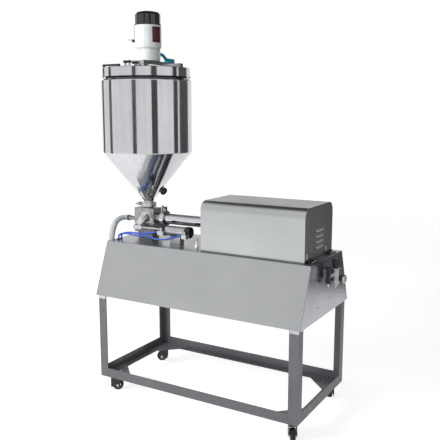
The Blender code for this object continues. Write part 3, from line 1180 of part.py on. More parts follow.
# ================================================================ air preparation unit
def build_air_unit(root):
    """Filter regulator on the right-hand end panel: body, bowl, gauge and pressure knob."""
    x0, x1 = FRL_X
    panel = CABINET_LENGTH / 2 + GAP
    middle = (x0 + x1) / 2
    body = boxes("filter_regulator", [((x0, FRL_Y - FRL_W / 2, FRL_Z[0]), (x1, FRL_Y + FRL_W / 2, FRL_Z[1]))],
                 "aluminium", root)
    bracket = boxes("air_unit_bracket", [((panel, FRL_Y - 20 * MM, FRL_Z[0] + 10 * MM),
                                          (x0 + 3 * MM, FRL_Y + 20 * MM, FRL_Z[1] - 5 * MM))],
                    "aluminium", root)
    combine(body, bracket, "UNION")
    half = INLET_W / 2
    inlet = boxes("inlet_valve", [((INLET_X - half, INLET_Y - half, INLET_Z[0]),
                                   (INLET_X + half, INLET_Y + half, INLET_Z[1]))], "dark_plastic", root)
    combine(body, inlet, "UNION")
    stub = rods("inlet_stub", [((x0 + half, INLET_Y, (FRL_Z[0] + FRL_Z[1]) / 2),
                                (x0 + half, FRL_Y, (FRL_Z[0] + FRL_Z[1]) / 2), half - 1 * MM)],
                "dark_plastic", root, 16)
    combine(body, stub, "UNION")
    nipple = rods("inlet_nipple", [((INLET_X, INLET_Y, INLET_Z[0] - 13 * MM),
                                    (INLET_X, INLET_Y, INLET_Z[0] + WELD), 5 * MM)], "stainless", root, 12)
    combine(body, nipple, "UNION")
    bowl_top = FRL_Z[0] + WELD
    radius = FRL_BOWL_R
    bowl = turned("filter_bowl", [(0, bowl_top), (radius, bowl_top), (radius, bowl_top - FRL_BOWL_H + 12 * MM),
                           (radius - 6 * MM, bowl_top - FRL_BOWL_H + 4 * MM), (4 * MM, bowl_top - FRL_BOWL_H),
                           (4 * MM, bowl_top - FRL_BOWL_H - 6 * MM), (0, bowl_top - FRL_BOWL_H - 6 * MM)],
           "clear_plastic", root, (middle, FRL_Y, 0), closed=False, sides=24)
    combine(body, bowl, "UNION")
    gauge_face = x1 + GAP
    turned("pressure_gauge", [(0, gauge_face + GAUGE_T), (GAUGE_R, gauge_face + GAUGE_T),
                              (GAUGE_R, gauge_face + 5 * MM), (8 * MM, gauge_face + 3 * MM),
                              (8 * MM, gauge_face), (0, gauge_face)],
           "black_steel", root, (0, GAUGE_Y, GAUGE_Z), TURN_X, False, 24)
    knob = empty("regulator_axis", (middle, FRL_Y, FRL_Z[1]), root)
    foot = FRL_Z[1] + GAP
    top = foot + FRL_KNOB_H
    radius = FRL_KNOB_R
    turned("regulator_knob", [(0, top), (radius - 3 * MM, top), (radius, top - 3 * MM), (radius, foot + 8 * MM),
                              (radius - 4 * MM, foot + 6 * MM), (radius - 4 * MM, foot), (0, foot)],
           "dark_plastic", knob, (middle, FRL_Y, 0), closed=False, sides=24)


def main():
    """Build the machine."""
    root = empty("machine_frame", (0, 0, 0))
    build_stand(root)
    build_caster_mounts(root)
    build_casters(root)
    build_cabinet(root)
    build_hood(root)
    build_hopper(root)
    build_lid(root)
    build_drive(root)
    build_stirrer(root)
    build_valve(root)
    build_actuator(root)
    build_product_cylinder(root)
    build_air_cylinder(root)
    build_clamps(root)
    build_outlet(root)
    build_air_unit(root)
    root.location.x = SHIFT
    bpy.context.view_layer.update()


main()
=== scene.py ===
"""Piston liquid filler: finishes, fine surfaces and small hardware on the fixed frame, and a studio."""

import json
import logging
import math
from dataclasses import dataclass
from enum import Enum
from typing import Optional, Sequence

import bmesh
import bpy
from bmesh.types import BMesh
from bpy.types import ID, Material, Node, NodeSocket, NodeTree, Object
from mathutils import Matrix, Vector


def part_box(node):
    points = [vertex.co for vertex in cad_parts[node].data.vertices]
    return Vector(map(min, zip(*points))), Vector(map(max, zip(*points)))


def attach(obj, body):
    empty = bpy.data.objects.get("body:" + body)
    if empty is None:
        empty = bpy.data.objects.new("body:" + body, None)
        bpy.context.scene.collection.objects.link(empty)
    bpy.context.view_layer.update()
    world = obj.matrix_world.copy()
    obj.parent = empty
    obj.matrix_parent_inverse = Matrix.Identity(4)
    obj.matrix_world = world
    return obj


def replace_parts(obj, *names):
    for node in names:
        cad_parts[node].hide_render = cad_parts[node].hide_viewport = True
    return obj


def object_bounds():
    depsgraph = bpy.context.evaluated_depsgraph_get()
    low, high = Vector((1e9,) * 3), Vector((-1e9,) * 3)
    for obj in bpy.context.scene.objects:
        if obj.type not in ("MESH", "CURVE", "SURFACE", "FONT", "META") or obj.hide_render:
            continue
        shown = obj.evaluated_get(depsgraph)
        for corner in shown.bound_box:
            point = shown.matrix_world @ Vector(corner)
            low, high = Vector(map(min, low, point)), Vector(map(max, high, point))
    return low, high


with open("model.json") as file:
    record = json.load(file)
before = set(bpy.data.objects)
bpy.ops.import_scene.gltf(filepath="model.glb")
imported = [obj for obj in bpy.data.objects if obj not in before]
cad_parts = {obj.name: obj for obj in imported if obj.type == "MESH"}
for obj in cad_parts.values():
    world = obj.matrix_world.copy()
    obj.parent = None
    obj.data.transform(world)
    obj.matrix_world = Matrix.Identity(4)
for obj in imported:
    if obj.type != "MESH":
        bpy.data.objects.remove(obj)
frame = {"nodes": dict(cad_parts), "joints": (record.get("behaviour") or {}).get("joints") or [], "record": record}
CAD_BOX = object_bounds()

LOG = logging.getLogger("piston_filler")
MM = 0.001
PROUD = 0.3 * MM                    # trim stands this far off the face it sits on
SMOOTH_ANGLE = math.radians(38)     # sharper edges shade as edges
ROUND_ANGLE = math.radians(42)      # sharper edges are rounded
MATT = 0.9                          # roughness of the floor and the flags
RECORD = frame["record"]
JOINTS = {joint["name"]: joint for joint in frame["joints"]}
BODY_OF = {node: body for body, nodes in RECORD["behaviour"]["bodies"].items() for node in nodes}


# ---------------- finishes
def linear(hex_colour: str) -> tuple[float, float, float, float]:
    """Turn an sRGB hex colour to linear RGBA.

    Args:
        hex_colour: A colour such as "#B6B9BC".

    Returns:
        Linear red, green and blue, and an alpha of 1.
    """
    channels = [int(hex_colour[i:i + 2], 16) / 255 for i in (1, 3, 5)]
    red, green, blue = (c / 12.92 if c <= 0.04045 else ((c + 0.055) / 1.055) ** 2.4 for c in channels)
    return red, green, blue, 1.0


def add_node(tree: NodeTree, kind: str, settings: Optional[dict] = None,
             links: Optional[dict] = None) -> Node:
    """Add a node with its settings and links.

    Args:
        tree: The node tree.
        kind: The node's type name.
        settings: Properties by attribute name, or unlinked sockets by name or index.
        links: Output sockets to connect, by input name or index.

    Returns:
        The new node.
    """
    node = tree.nodes.new(kind)
    for key, value in (settings or {}).items():
        if isinstance(key, str) and hasattr(node, key):
            setattr(node, key, value)
        else:
            node.inputs[key].default_value = value
    for key, socket in (links or {}).items():
        tree.links.new(socket, node.inputs[key])
    return node


class Grain(Enum):
    """Which way a finish's fine lines run."""

    NONE = (1.0, 1.0, 1.0)
    ALONG_X = (0.02, 1.0, 1.0)
    ALONG_Y = (1.0, 0.02, 1.0)
    ALONG_Z = (1.0, 1.0, 0.02)


@dataclass(frozen=True)
class Finish:
    """What a surface is made of and how it was made."""

    name: str
    colour: str
    shade: str                  # darker or dirtier tone of the same surface
    roughness: float
    metallic: float = 0.0
    ior: float = 1.5
    grain: Grain = Grain.NONE
    grain_mm: float = 1.5       # spacing of the fine pattern
    cloud_mm: float = 90.0      # spacing of the broad variation
    depth_mm: float = 0.0       # height of the fine pattern
    spread: float = 0.05        # how far roughness wanders
    coat: float = 0.0
    clear: float = 0.0          # share of light let through
    alpha: float = 1.0

    def material(self) -> Material:
        """Return this finish's material, made on first use."""
        if self.name in bpy.data.materials:
            return bpy.data.materials[self.name]
        material = bpy.data.materials.new(self.name)
        material.use_nodes = True
        tree = material.node_tree
        shader = tree.nodes["Principled BSDF"]
        fixed = {"Metallic": self.metallic, "IOR": self.ior, "Coat Weight": self.coat,
                 "Coat Roughness": 0.08, "Transmission Weight": self.clear, "Alpha": self.alpha}
        for socket, value in fixed.items():
            shader.inputs[socket].default_value = value
        place = add_node(tree, "ShaderNodeTexCoord").outputs["Object"]
        stretch = add_node(tree, "ShaderNodeMapping", {"Scale": self.grain.value}, {"Vector": place})
        fine = add_node(tree, "ShaderNodeTexNoise", {"Scale": 1 / (self.grain_mm * MM), "Detail": 3.0},
                        {"Vector": stretch.outputs["Vector"]}).outputs["Fac"]
        broad = add_node(tree, "ShaderNodeTexNoise", {"Scale": 1 / (self.cloud_mm * MM), "Detail": 4.0},
                         {"Vector": place}).outputs["Fac"]
        both = add_node(tree, "ShaderNodeMath", {"operation": "ADD"}, {0: fine, 1: broad}).outputs[0]
        tone = add_node(tree, "ShaderNodeMapRange", {"From Min": 0.75, "From Max": 1.3}, {"Value": both})
        colour = add_node(tree, "ShaderNodeMix", {"data_type": "RGBA", 6: linear(self.shade),
                                                  7: linear(self.colour)}, {0: tone.outputs[0]})
        tree.links.new(colour.outputs[2], shader.inputs["Base Color"])
        gloss = add_node(tree, "ShaderNodeMapRange",
                         {"From Min": 0.75, "From Max": 1.3, "To Min": self.roughness + self.spread,
                          "To Max": max(self.roughness - self.spread, 0.02)}, {"Value": both})
        tree.links.new(gloss.outputs[0], shader.inputs["Roughness"])
        if self.depth_mm:
            bump = add_node(tree, "ShaderNodeBump", {"Strength": 0.6, "Distance": self.depth_mm * MM},
                            {"Height": fine})
            tree.links.new(bump.outputs["Normal"], shader.inputs["Normal"])
        return material


# Sheet of 304 stainless with a satin belt grain: broad soft highlights drawn out across the grain.
SATIN_SHEET = Finish("satin_stainless_sheet", "#B6B8B9", "#AFB1B2", 0.33, 1.0, grain=Grain.ALONG_X,
                     grain_mm=2.4, cloud_mm=220, depth_mm=0.004, spread=0.03)
SATIN_END = Finish("satin_stainless_end", "#BCBEC3", "#B0B2B8", 0.24, 1.0, grain=Grain.ALONG_Z,
                   grain_mm=2.4, cloud_mm=220, depth_mm=0.003, spread=0.03)
# Buffed 304 stainless: a mirror with the slight waviness of rolled sheet.
MIRROR_SHEET = Finish("mirror_stainless", "#CFD0D2", "#C2C3C6", 0.09, 1.0, grain=Grain.ALONG_Z,
                      grain_mm=11, cloud_mm=130, depth_mm=0.12, spread=0.05)
# Turned and machined stainless fittings: bright, with fine tool marks.
TURNED = Finish("turned_stainless", "#D2D3D4", "#B2B3B5", 0.17, 1.0, grain_mm=1.2, cloud_mm=25,
                depth_mm=0.01)
# Investment-cast valve block, bead blasted: soft grey sparkle.
CAST_STEEL = Finish("blasted_cast_stainless", "#B0B0B0", "#8C8B8A", 0.38, 1.0, grain_mm=0.9,
                    cloud_mm=14, depth_mm=0.08)
# Cold-formed angle under a satin grey enamel: even, with faint orange peel.
ENAMEL = Finish("grey_enamelled_angle", "#68696C", "#5F6064", 0.42, 0.15, grain_mm=2.2, cloud_mm=70,
                depth_mm=0.03, coat=0.1)
# Pressed stainless louvre lips in a paler, half-metal colour: a painted highlight for the light that the lips
# catch.
PRESSED_LIP_HIGHLIGHT = Finish("pressed_lip_painted_highlight", "#E2E3E4", "#D0D1D3", 0.30, 0.35, grain_mm=1.2, cloud_mm=12)
ZINC = Finish("bright_zinc", "#C9CBCD", "#A8AAAD", 0.25, 1.0, grain_mm=1.5, cloud_mm=12)
ALUMINIUM = Finish("clear_anodised_aluminium", "#C3C5C8", "#AEB0B4", 0.30, 1.0, grain=Grain.ALONG_X,
                   grain_mm=1.0, cloud_mm=40, depth_mm=0.01)
# Pressed black steel and glossy black enamel: dark with a crisp highlight.
BLACK_ENAMEL = Finish("black_enamel", "#131315", "#0B0B0C", 0.18, grain_mm=3, cloud_mm=40, coat=0.6)
BLACK_STEEL = Finish("black_pressed_steel", "#232426", "#17181A", 0.38, grain_mm=1.5, cloud_mm=20,
                     depth_mm=0.02)
# Moulded nylon and ABS: fine leather-like texture, no mirror.
BLACK_NYLON = Finish("black_nylon", "#202124", "#161719", 0.48, grain_mm=0.8, cloud_mm=20, depth_mm=0.03)
WHITE_NYLON = Finish("white_nylon", "#EDEDE9", "#DCDCD7", 0.38, grain_mm=0.8, cloud_mm=15, depth_mm=0.02)
RUBBER = Finish("black_tyre_rubber", "#1A1A1B", "#101011", 0.72, grain_mm=0.9, cloud_mm=14, depth_mm=0.06)
# Pressure-cast aluminium under pale enamel, as on a geared motor.
CAST_ENAMEL = Finish("pale_enamelled_casting", "#F0F3F2", "#E4E8E7", 0.33, grain_mm=1.8, cloud_mm=45,
                     depth_mm=0.05, coat=0.25)
CYAN_PLASTIC = Finish("cyan_acetal", "#3DB7D6", "#2B9DC0", 0.28, grain_mm=2, cloud_mm=20)
# Extruded polyurethane air tube: saturated, slightly cloudy blue.
BLUE_TUBE = Finish("blue_polyurethane_tube", "#3E66D0", "#2F52B8", 0.26, grain_mm=3, cloud_mm=30, clear=0.1)
# Milky reinforced hose: light passes, and its ribs show as pale rings.
CLEAR_HOSE = Finish("milky_reinforced_hose", "#DDE2E6", "#C3C9CF", 0.22, grain_mm=2, cloud_mm=25, clear=0.45)
BOWL = Finish("clear_polycarbonate", "#F2F4F4", "#E4E8E8", 0.07, grain_mm=4, cloud_mm=20, clear=0.8)
MAROON = Finish("maroon_anodised_plate", "#8E4650", "#74343F", 0.35, 0.2, grain_mm=1.2, cloud_mm=20)
DIAL = Finish("white_dial", "#F0F0EC", "#E3E3DE", 0.45, grain_mm=2, cloud_mm=20)
PTFE = Finish("white_ptfe", "#E9E9E4", "#DADAD4", 0.4, grain_mm=1.5, cloud_mm=10)


# ---------------- mesh tools
def placed(name: str, data: ID) -> Object:
    """Link a new object that holds this data, and return it."""
    item = bpy.data.objects.new(name, data)
    bpy.context.scene.collection.objects.link(item)
    return item


def finished(name: str, bm: BMesh, finish: Finish,
             body: str = "machine") -> Object:
    """Turn a bmesh into a shaded piece that rides on a body.

    Args:
        name: The piece's name.
        bm: Its mesh, with its place in its points; it is freed.
        finish: Its finish.
        body: The body that it rides on.

    Returns:
        The piece.
    """
    mesh = bpy.data.meshes.new(name)
    bm.to_mesh(mesh)
    bm.free()
    mesh.materials.append(finish.material())
    mesh.shade_smooth()
    mesh.set_sharp_from_angle(angle=SMOOTH_ANGLE)
    piece = placed(name, mesh)
    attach(piece, body)
    return piece


def soften(piece: Object, width: float, segments: int = 2) -> Object:
    """Round a piece's hard edges, as forming and deburring leave them.

    Args:
        piece: The piece.
        width: The round's width in metres.
        segments: Steps across the round.

    Returns:
        The same piece.
    """
    bevel = piece.modifiers.new("soft_edges", "BEVEL")
    bevel.width = width
    bevel.segments = segments
    bevel.limit_method = "ANGLE"
    bevel.angle_limit = ROUND_ANGLE
    bevel.use_clamp_overlap = True
    bevel.harden_normals = False
    return piece


def soften_mesh(bm: BMesh, width: float = 0.6 * MM) -> BMesh:
    """Bevel a mesh's sharp edges in place.

    Args:
        bm: The mesh.
        width: The bevel's width in metres.

    Returns:
        The same mesh.
    """
    sharp = [edge for edge in bm.edges if edge.calc_face_angle(0) > ROUND_ANGLE]
    bmesh.ops.bevel(bm, geom=sharp, offset=width, segments=2, affect="EDGES", profile=0.5)
    return bm


def hold_rings(bm: BMesh, axis: int, inset: float = 1.5 * MM) -> None:
    """Cut a loop beside each end of a turned piece's long spans, so that its walls shade straight.

    Args:
        bm: The piece's merged mesh.
        axis: 0, 1 or 2 for the axis that it was turned about.
        inset: How far from each end a loop lies.
    """
    rings = sorted({round(vert.co[axis], 5) for vert in bm.verts})
    normal = Vector([float(i == axis) for i in range(3)])
    for low, high in zip(rings, rings[1:]):
        if high - low > 6 * inset:      # shorter spans shade straight as they are
            for place in (low + inset, high - inset):
                bmesh.ops.bisect_plane(bm, geom=bm.verts[:] + bm.edges[:] + bm.faces[:],
                                       plane_co=normal * place, plane_no=normal)


def refine(node: str, finish: Finish, width: float,
           turned_about: Optional[int] = None) -> Object:
    """Replace a CAD node by a merged copy with smooth rounds and softened edges.

    Args:
        node: The CAD node.
        finish: The copy's finish.
        width: Width of its softened edges, in metres, or 0 for none.
        turned_about: Axis of a turned piece with long walls.

    Returns:
        The copy.
    """
    bm = bmesh.new()
    bm.from_mesh(frame["nodes"][node].data)
    bmesh.ops.remove_doubles(bm, verts=bm.verts, dist=0.02 * MM)
    bmesh.ops.dissolve_limit(bm, angle_limit=math.radians(0.6), verts=bm.verts, edges=bm.edges)
    if turned_about is not None:
        hold_rings(bm, turned_about)
    piece = finished(node + "_surface", bm, finish, BODY_OF[node])
    if width:
        soften(piece, width)
    level = piece.modifiers.new("level_faces", "WEIGHTED_NORMAL")
    level.weight = 100
    level.keep_sharp = True
    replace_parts(piece, node)
    LOG.info("%s refined in %s", node, finish.name)
    return piece


def refine_all(rows: Sequence[tuple[str, Finish, float]]) -> None:
    """Refine several nodes, each with its finish and its edges' width in millimetres."""
    for node, finish, width in rows:
        refine(node, finish, width * MM)


def lathe(profile: Sequence[tuple[float, float]], place: Matrix, steps: int = 64) -> BMesh:
    """Turn a closed or pole-to-pole profile about local Z.

    Args:
        profile: Points of radius and height, in metres; a radius of 0 makes a pole.
        place: Where the turned shape goes.
        steps: Segments round the axis.

    Returns:
        The turned mesh with its faces pointing out.
    """
    bm = bmesh.new()
    points = [bm.verts.new((radius, 0, height)) for radius, height in profile]
    edges = [bm.edges.new(pair) for pair in zip(points, points[1:])]
    if profile[0][0] and profile[-1][0]:
        edges.append(bm.edges.new((points[-1], points[0])))
    bmesh.ops.spin(bm, geom=points + edges, cent=(0, 0, 0), axis=(0, 0, 1), angle=math.tau, steps=steps)
    bmesh.ops.remove_doubles(bm, verts=bm.verts, dist=0.005 * MM)
    bmesh.ops.recalc_face_normals(bm, faces=bm.faces)
    bm.transform(place)
    return bm


def block(low: Sequence[float], high: Sequence[float]) -> BMesh:
    """Make a box.

    Args:
        low: Its lowest corner.
        high: Its highest corner.

    Returns:
        The box's mesh.
    """
    low, high = Vector(low), Vector(high)
    bm = bmesh.new()
    bmesh.ops.create_cube(bm, size=1, matrix=Matrix.Translation((low + high) / 2)
                          @ Matrix.Diagonal((*(high - low), 1)))
    return bm


def middle(low: Sequence[float], high: Sequence[float]) -> tuple[float, ...]:
    """Return the point midway between a box's corners."""
    return tuple((a + b) / 2 for a, b in zip(low, high))


def shift(x: float, y: float, z: float) -> Matrix:
    """Return the matrix that moves a piece by these lengths."""
    return Matrix.Translation((x, y, z))


def frame_at(place: Sequence[float], axis: Sequence[float]) -> Matrix:
    """Return the matrix that puts local Z along an axis at a place."""
    return Matrix.Translation(Vector(place)) @ Vector(axis).to_track_quat("Z", "Y").to_matrix().to_4x4()


def screw_head(radius: float, height: float) -> BMesh:
    """Return a domed hexagon-socket screw head standing on local z = 0."""
    socket = radius * 0.5
    return lathe([(0, height * 0.35), (socket, height * 0.35), (socket, height), (radius * 0.8, height),
                  (radius, height * 0.6), (radius, 0), (0, 0)], Matrix.Identity(4), 12)


# ---------------- patterns
class Layout(Enum):
    """How a pattern's copies are laid out."""

    RING = "ring"
    ROW = "row"
    PATH = "path"


def pattern_tree(layout: Layout, finish: Finish) -> NodeTree:
    """Build the Geometry Nodes tree that lays out copies of one item.

    Args:
        layout: A ring about Z, each copy turned to face out, a straight row, or along a curve.
        finish: The copies' finish.

    Returns:
        The tree, with inputs Item, Count, Radius, Step and Path.
    """
    tree = bpy.data.node_groups.new("pattern_" + layout.value, "GeometryNodeTree")
    tree.interface.new_socket("Geometry", in_out="OUTPUT", socket_type="NodeSocketGeometry")
    for name, kind in (("Item", "NodeSocketObject"), ("Count", "NodeSocketInt"),
                       ("Radius", "NodeSocketFloat"), ("Step", "NodeSocketVector"),
                       ("Path", "NodeSocketObject")):
        tree.interface.new_socket(name, in_out="INPUT", socket_type=kind)
    given = add_node(tree, "NodeGroupInput").outputs
    item = add_node(tree, "GeometryNodeObjectInfo", links={"Object": given["Item"]}).outputs["Geometry"]
    if layout is Layout.RING:
        points = add_node(tree, "GeometryNodeMeshCircle",
                          links={"Vertices": given["Count"], "Radius": given["Radius"]})
        index = add_node(tree, "GeometryNodeInputIndex").outputs[0]
        turn = add_node(tree, "ShaderNodeMath", {"operation": "DIVIDE", 0: math.tau}, {1: given["Count"]})
        angle = add_node(tree, "ShaderNodeMath", {"operation": "MULTIPLY"}, {0: index, 1: turn.outputs[0]})
        about = add_node(tree, "ShaderNodeCombineXYZ", links={"Z": angle.outputs[0]})
        facing = add_node(tree, "FunctionNodeEulerToRotation", links={0: about.outputs[0]}).outputs[0]
        extra = {"Rotation": facing}
    elif layout is Layout.PATH:
        line = add_node(tree, "GeometryNodeObjectInfo", links={"Object": given["Path"]}).outputs["Geometry"]
        points = add_node(tree, "GeometryNodeCurveToPoints", links={"Curve": line, "Count": given["Count"]})
        extra = {"Rotation": points.outputs["Rotation"]}
    else:
        points = add_node(tree, "GeometryNodeMeshLine",
                          links={"Count": given["Count"], "Offset": given["Step"]})
        extra = {}
    copies = add_node(tree, "GeometryNodeInstanceOnPoints",
                      links={"Points": points.outputs[0], "Instance": item, **extra})
    real = add_node(tree, "GeometryNodeRealizeInstances", links={0: copies.outputs[0]})
    dressed = add_node(tree, "GeometryNodeSetMaterial", {"Material": finish.material()},
                       {"Geometry": real.outputs[0]})
    add_node(tree, "NodeGroupOutput", links={0: dressed.outputs[0]})
    return tree


def pattern(name: str, layout: Layout, item: BMesh, finish: Finish, body: str, place: Matrix,
            count: int, radius: float = 0.0, step: Sequence[float] = (0, 0, 0),
            path: Optional[Object] = None) -> Object:
    """Lay out copies of an item, bake them and place them.

    Args:
        name: The piece's name.
        layout: Ring, row or path.
        item: One copy about the origin; it is freed.
        finish: The copies' finish.
        body: The body that the piece rides on.
        place: Matrix for the whole pattern.
        count: Number of copies.
        radius: The ring's radius, in metres.
        step: From one copy in a row to the next, in metres.
        path: The curve that a path's copies stand along.

    Returns:
        The baked piece.
    """
    mesh = bpy.data.meshes.new(name + "_item")
    item.to_mesh(mesh)
    item.free()
    source = placed(name + "_item", mesh)
    carrier = placed(name + "_carrier", bpy.data.meshes.new(name + "_carrier"))
    modifier = carrier.modifiers.new("pattern", "NODES")
    modifier.node_group = pattern_tree(layout, finish)
    values = {"Item": source, "Count": count, "Radius": radius, "Step": tuple(step), "Path": path}
    for socket in modifier.node_group.interface.items_tree:
        if socket.in_out == "INPUT":
            modifier[socket.identifier] = values[socket.name]
    bpy.context.view_layer.update()
    baked = bpy.data.meshes.new_from_object(carrier.evaluated_get(bpy.context.evaluated_depsgraph_get()))
    for helper in (carrier, source):
        bpy.data.objects.remove(helper)
    bm = bmesh.new()
    bm.from_mesh(baked)
    bm.transform(place)
    LOG.info("%s: %d copies in a %s", name, count, layout.value)
    return finished(name, bm, finish, body)


# ---------------- assemblies
@dataclass
class Stand:
    """Welded angle stand with its corner plates."""

    edge: float = 0.8 * MM
    highlight_strip: tuple[float, float] = (37 * MM, 14 * MM)     # painted highlight: bright strip under the skirt for the leg's light band: width, height

    def build(self) -> None:
        """Dress the stand and add bright zinc strips at the tops of its front legs, a painted highlight for the
        light band under the skirt.
        """
        for node in ("end_frame_left", "end_frame_right", "lower_rail_front", "lower_rail_rear"):
            refine(node, ENAMEL, self.edge)
        width, height = self.highlight_strip
        for node, side in (("end_frame_left", -1), ("end_frame_right", 1)):
            low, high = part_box(node)
            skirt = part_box("cabinet_shell")[0][2]
            edge = low[0] if side < 0 else high[0]
            inner = edge - side * width
            corner = (min(edge, inner), low[1] - PROUD, skirt - height)
            highlight_strip = block(corner, (max(edge, inner), low[1] + PROUD, skirt - 1 * MM))
            # Bright zinc strip: painted highlight where the leg shows a light band under the skirt.
            finished("leg_top_" + ("left" if side < 0 else "right"), highlight_strip, ZINC)


@dataclass
class Casters:
    """Four swivel casters with rubber tyres on zinc discs."""

    tyre_r: float = 25 * MM
    tyre_half: float = 10 * MM      # half the tyre's width
    shoulder: float = 3.2 * MM      # how far the tyre's sides stop short of its tread
    hub_r: float = 15 * MM
    rivets: int = 5
    rivet_r: float = 1.6 * MM
    rivet_ring_r: float = 11.5 * MM
    rivet_out: float = 8.4 * MM     # from the wheel's middle, along its axle
    nut_out: float = 16 * MM
    corners: tuple[str, ...] = ("front_left", "front_right", "rear_left", "rear_right")

    def build(self) -> None:
        """Dress every caster."""
        for corner in self.corners:
            refine("caster_plate_" + corner, ZINC, 0.4 * MM)
            refine("caster_fork_" + corner, BLACK_STEEL, 0.6 * MM)
            self.wheel(corner)

    def wheel(self, corner: str) -> None:
        """Replace a wheel by a crowned tyre, and add its discs, rivets and axle nuts.

        Args:
            corner: The caster's place on the stand.
        """
        joint = JOINTS["roll_" + corner]
        place = frame_at(joint["pos_m"], joint["axis"])
        body = "wheel_" + corner
        r, half, hub = self.tyre_r, self.tyre_half, self.hub_r
        side_r = r - self.shoulder
        crown = [(r - 0.9 * MM * (i / 4) ** 2, half * 0.86 * -i / 4) for i in range(-4, 5)]
        tyre = [(hub, half), (side_r, half), *crown, (side_r, -half), (hub, -half)]
        piece = finished("tyre_" + corner, lathe(tyre, place, 48), RUBBER, body)
        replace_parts(piece, "caster_wheel_" + corner)
        face = [(4.4 * MM, 12 * MM), (8 * MM, 12 * MM), (10 * MM, 9 * MM), (hub - 1.5 * MM, 8 * MM),
                (hub, 9.6 * MM)]
        disc = face + [(radius, -height) for radius, height in reversed(face)]
        finished("hub_" + corner, lathe(disc, place, 40), ZINC, body)
        nut_profile = [(0, 3.5 * MM), (4 * MM, 3.5 * MM), (6 * MM, 2.5 * MM), (6 * MM, 0.2 * MM),
                       (0, 0.2 * MM)]
        for index, side in enumerate((1, -1)):
            turn = Matrix.Rotation(0 if side > 0 else math.pi, 4, "X")
            seat = place @ shift(0, 0, side * self.rivet_out) @ turn
            pattern(f"hub_rivets_{corner}_{index}", Layout.RING, screw_head(self.rivet_r, 1.2 * MM), ZINC,
                    body, seat, self.rivets, self.rivet_ring_r)
            nut_place = place @ shift(0, 0, side * self.nut_out) @ turn
            nut = lathe(nut_profile, nut_place, 6)
            finished(f"axle_nut_{corner}_{index}", nut, ZINC, "fork_" + corner)


@dataclass
class Cabinet:
    """Bent stainless cabinet with its end panels and their screws."""

    tube_r: float = 4 * MM
    screw_r: float = 4 * MM
    # Across and up the end panels, in metres.
    screws: tuple[tuple[float, float], ...] = ((-0.089, 0.554), (0.043, 0.503), (-0.085, 0.495))

    def build(self) -> None:
        """Dress the cabinet and add the screws and the tube grommets."""
        refine_all((("cabinet_shell", SATIN_SHEET, 0.9), ("cabinet_end_left", SATIN_END, 0.5),
                    ("cabinet_end_right", SATIN_END, 0.5), ("cabinet_floor", SATIN_SHEET, 0.5)))
        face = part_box("cabinet_end_right")[1][0]
        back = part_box("cabinet_end_left")[0][0]
        for index, (y, z) in enumerate(self.screws):
            for side, (x, axis) in enumerate(((face, (1, 0, 0)), (back, (-1, 0, 0)))):
                head = screw_head(self.screw_r, 2.2 * MM)
                head.transform(frame_at((x, y, z), axis))
                finished(f"panel_screw_{index}_{side}", head, TURNED)
        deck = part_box("cabinet_shell")[1][2]
        for name in ("front", "rear"):
            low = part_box("air_tube_" + name)[0]
            foot = min((v.co for v in frame["nodes"]["air_tube_" + name].data.vertices), key=lambda p: p.z)
            ring = lathe([(4.3 * MM, 3 * MM), (6 * MM, 3 * MM), (8 * MM, 1.5 * MM), (8 * MM, 0.1 * MM),
                          (4.3 * MM, 0.1 * MM)],
                         shift(low[0] + self.tube_r, foot.y, deck), 32)
            finished("grommet_" + name, ring, BLACK_NYLON)


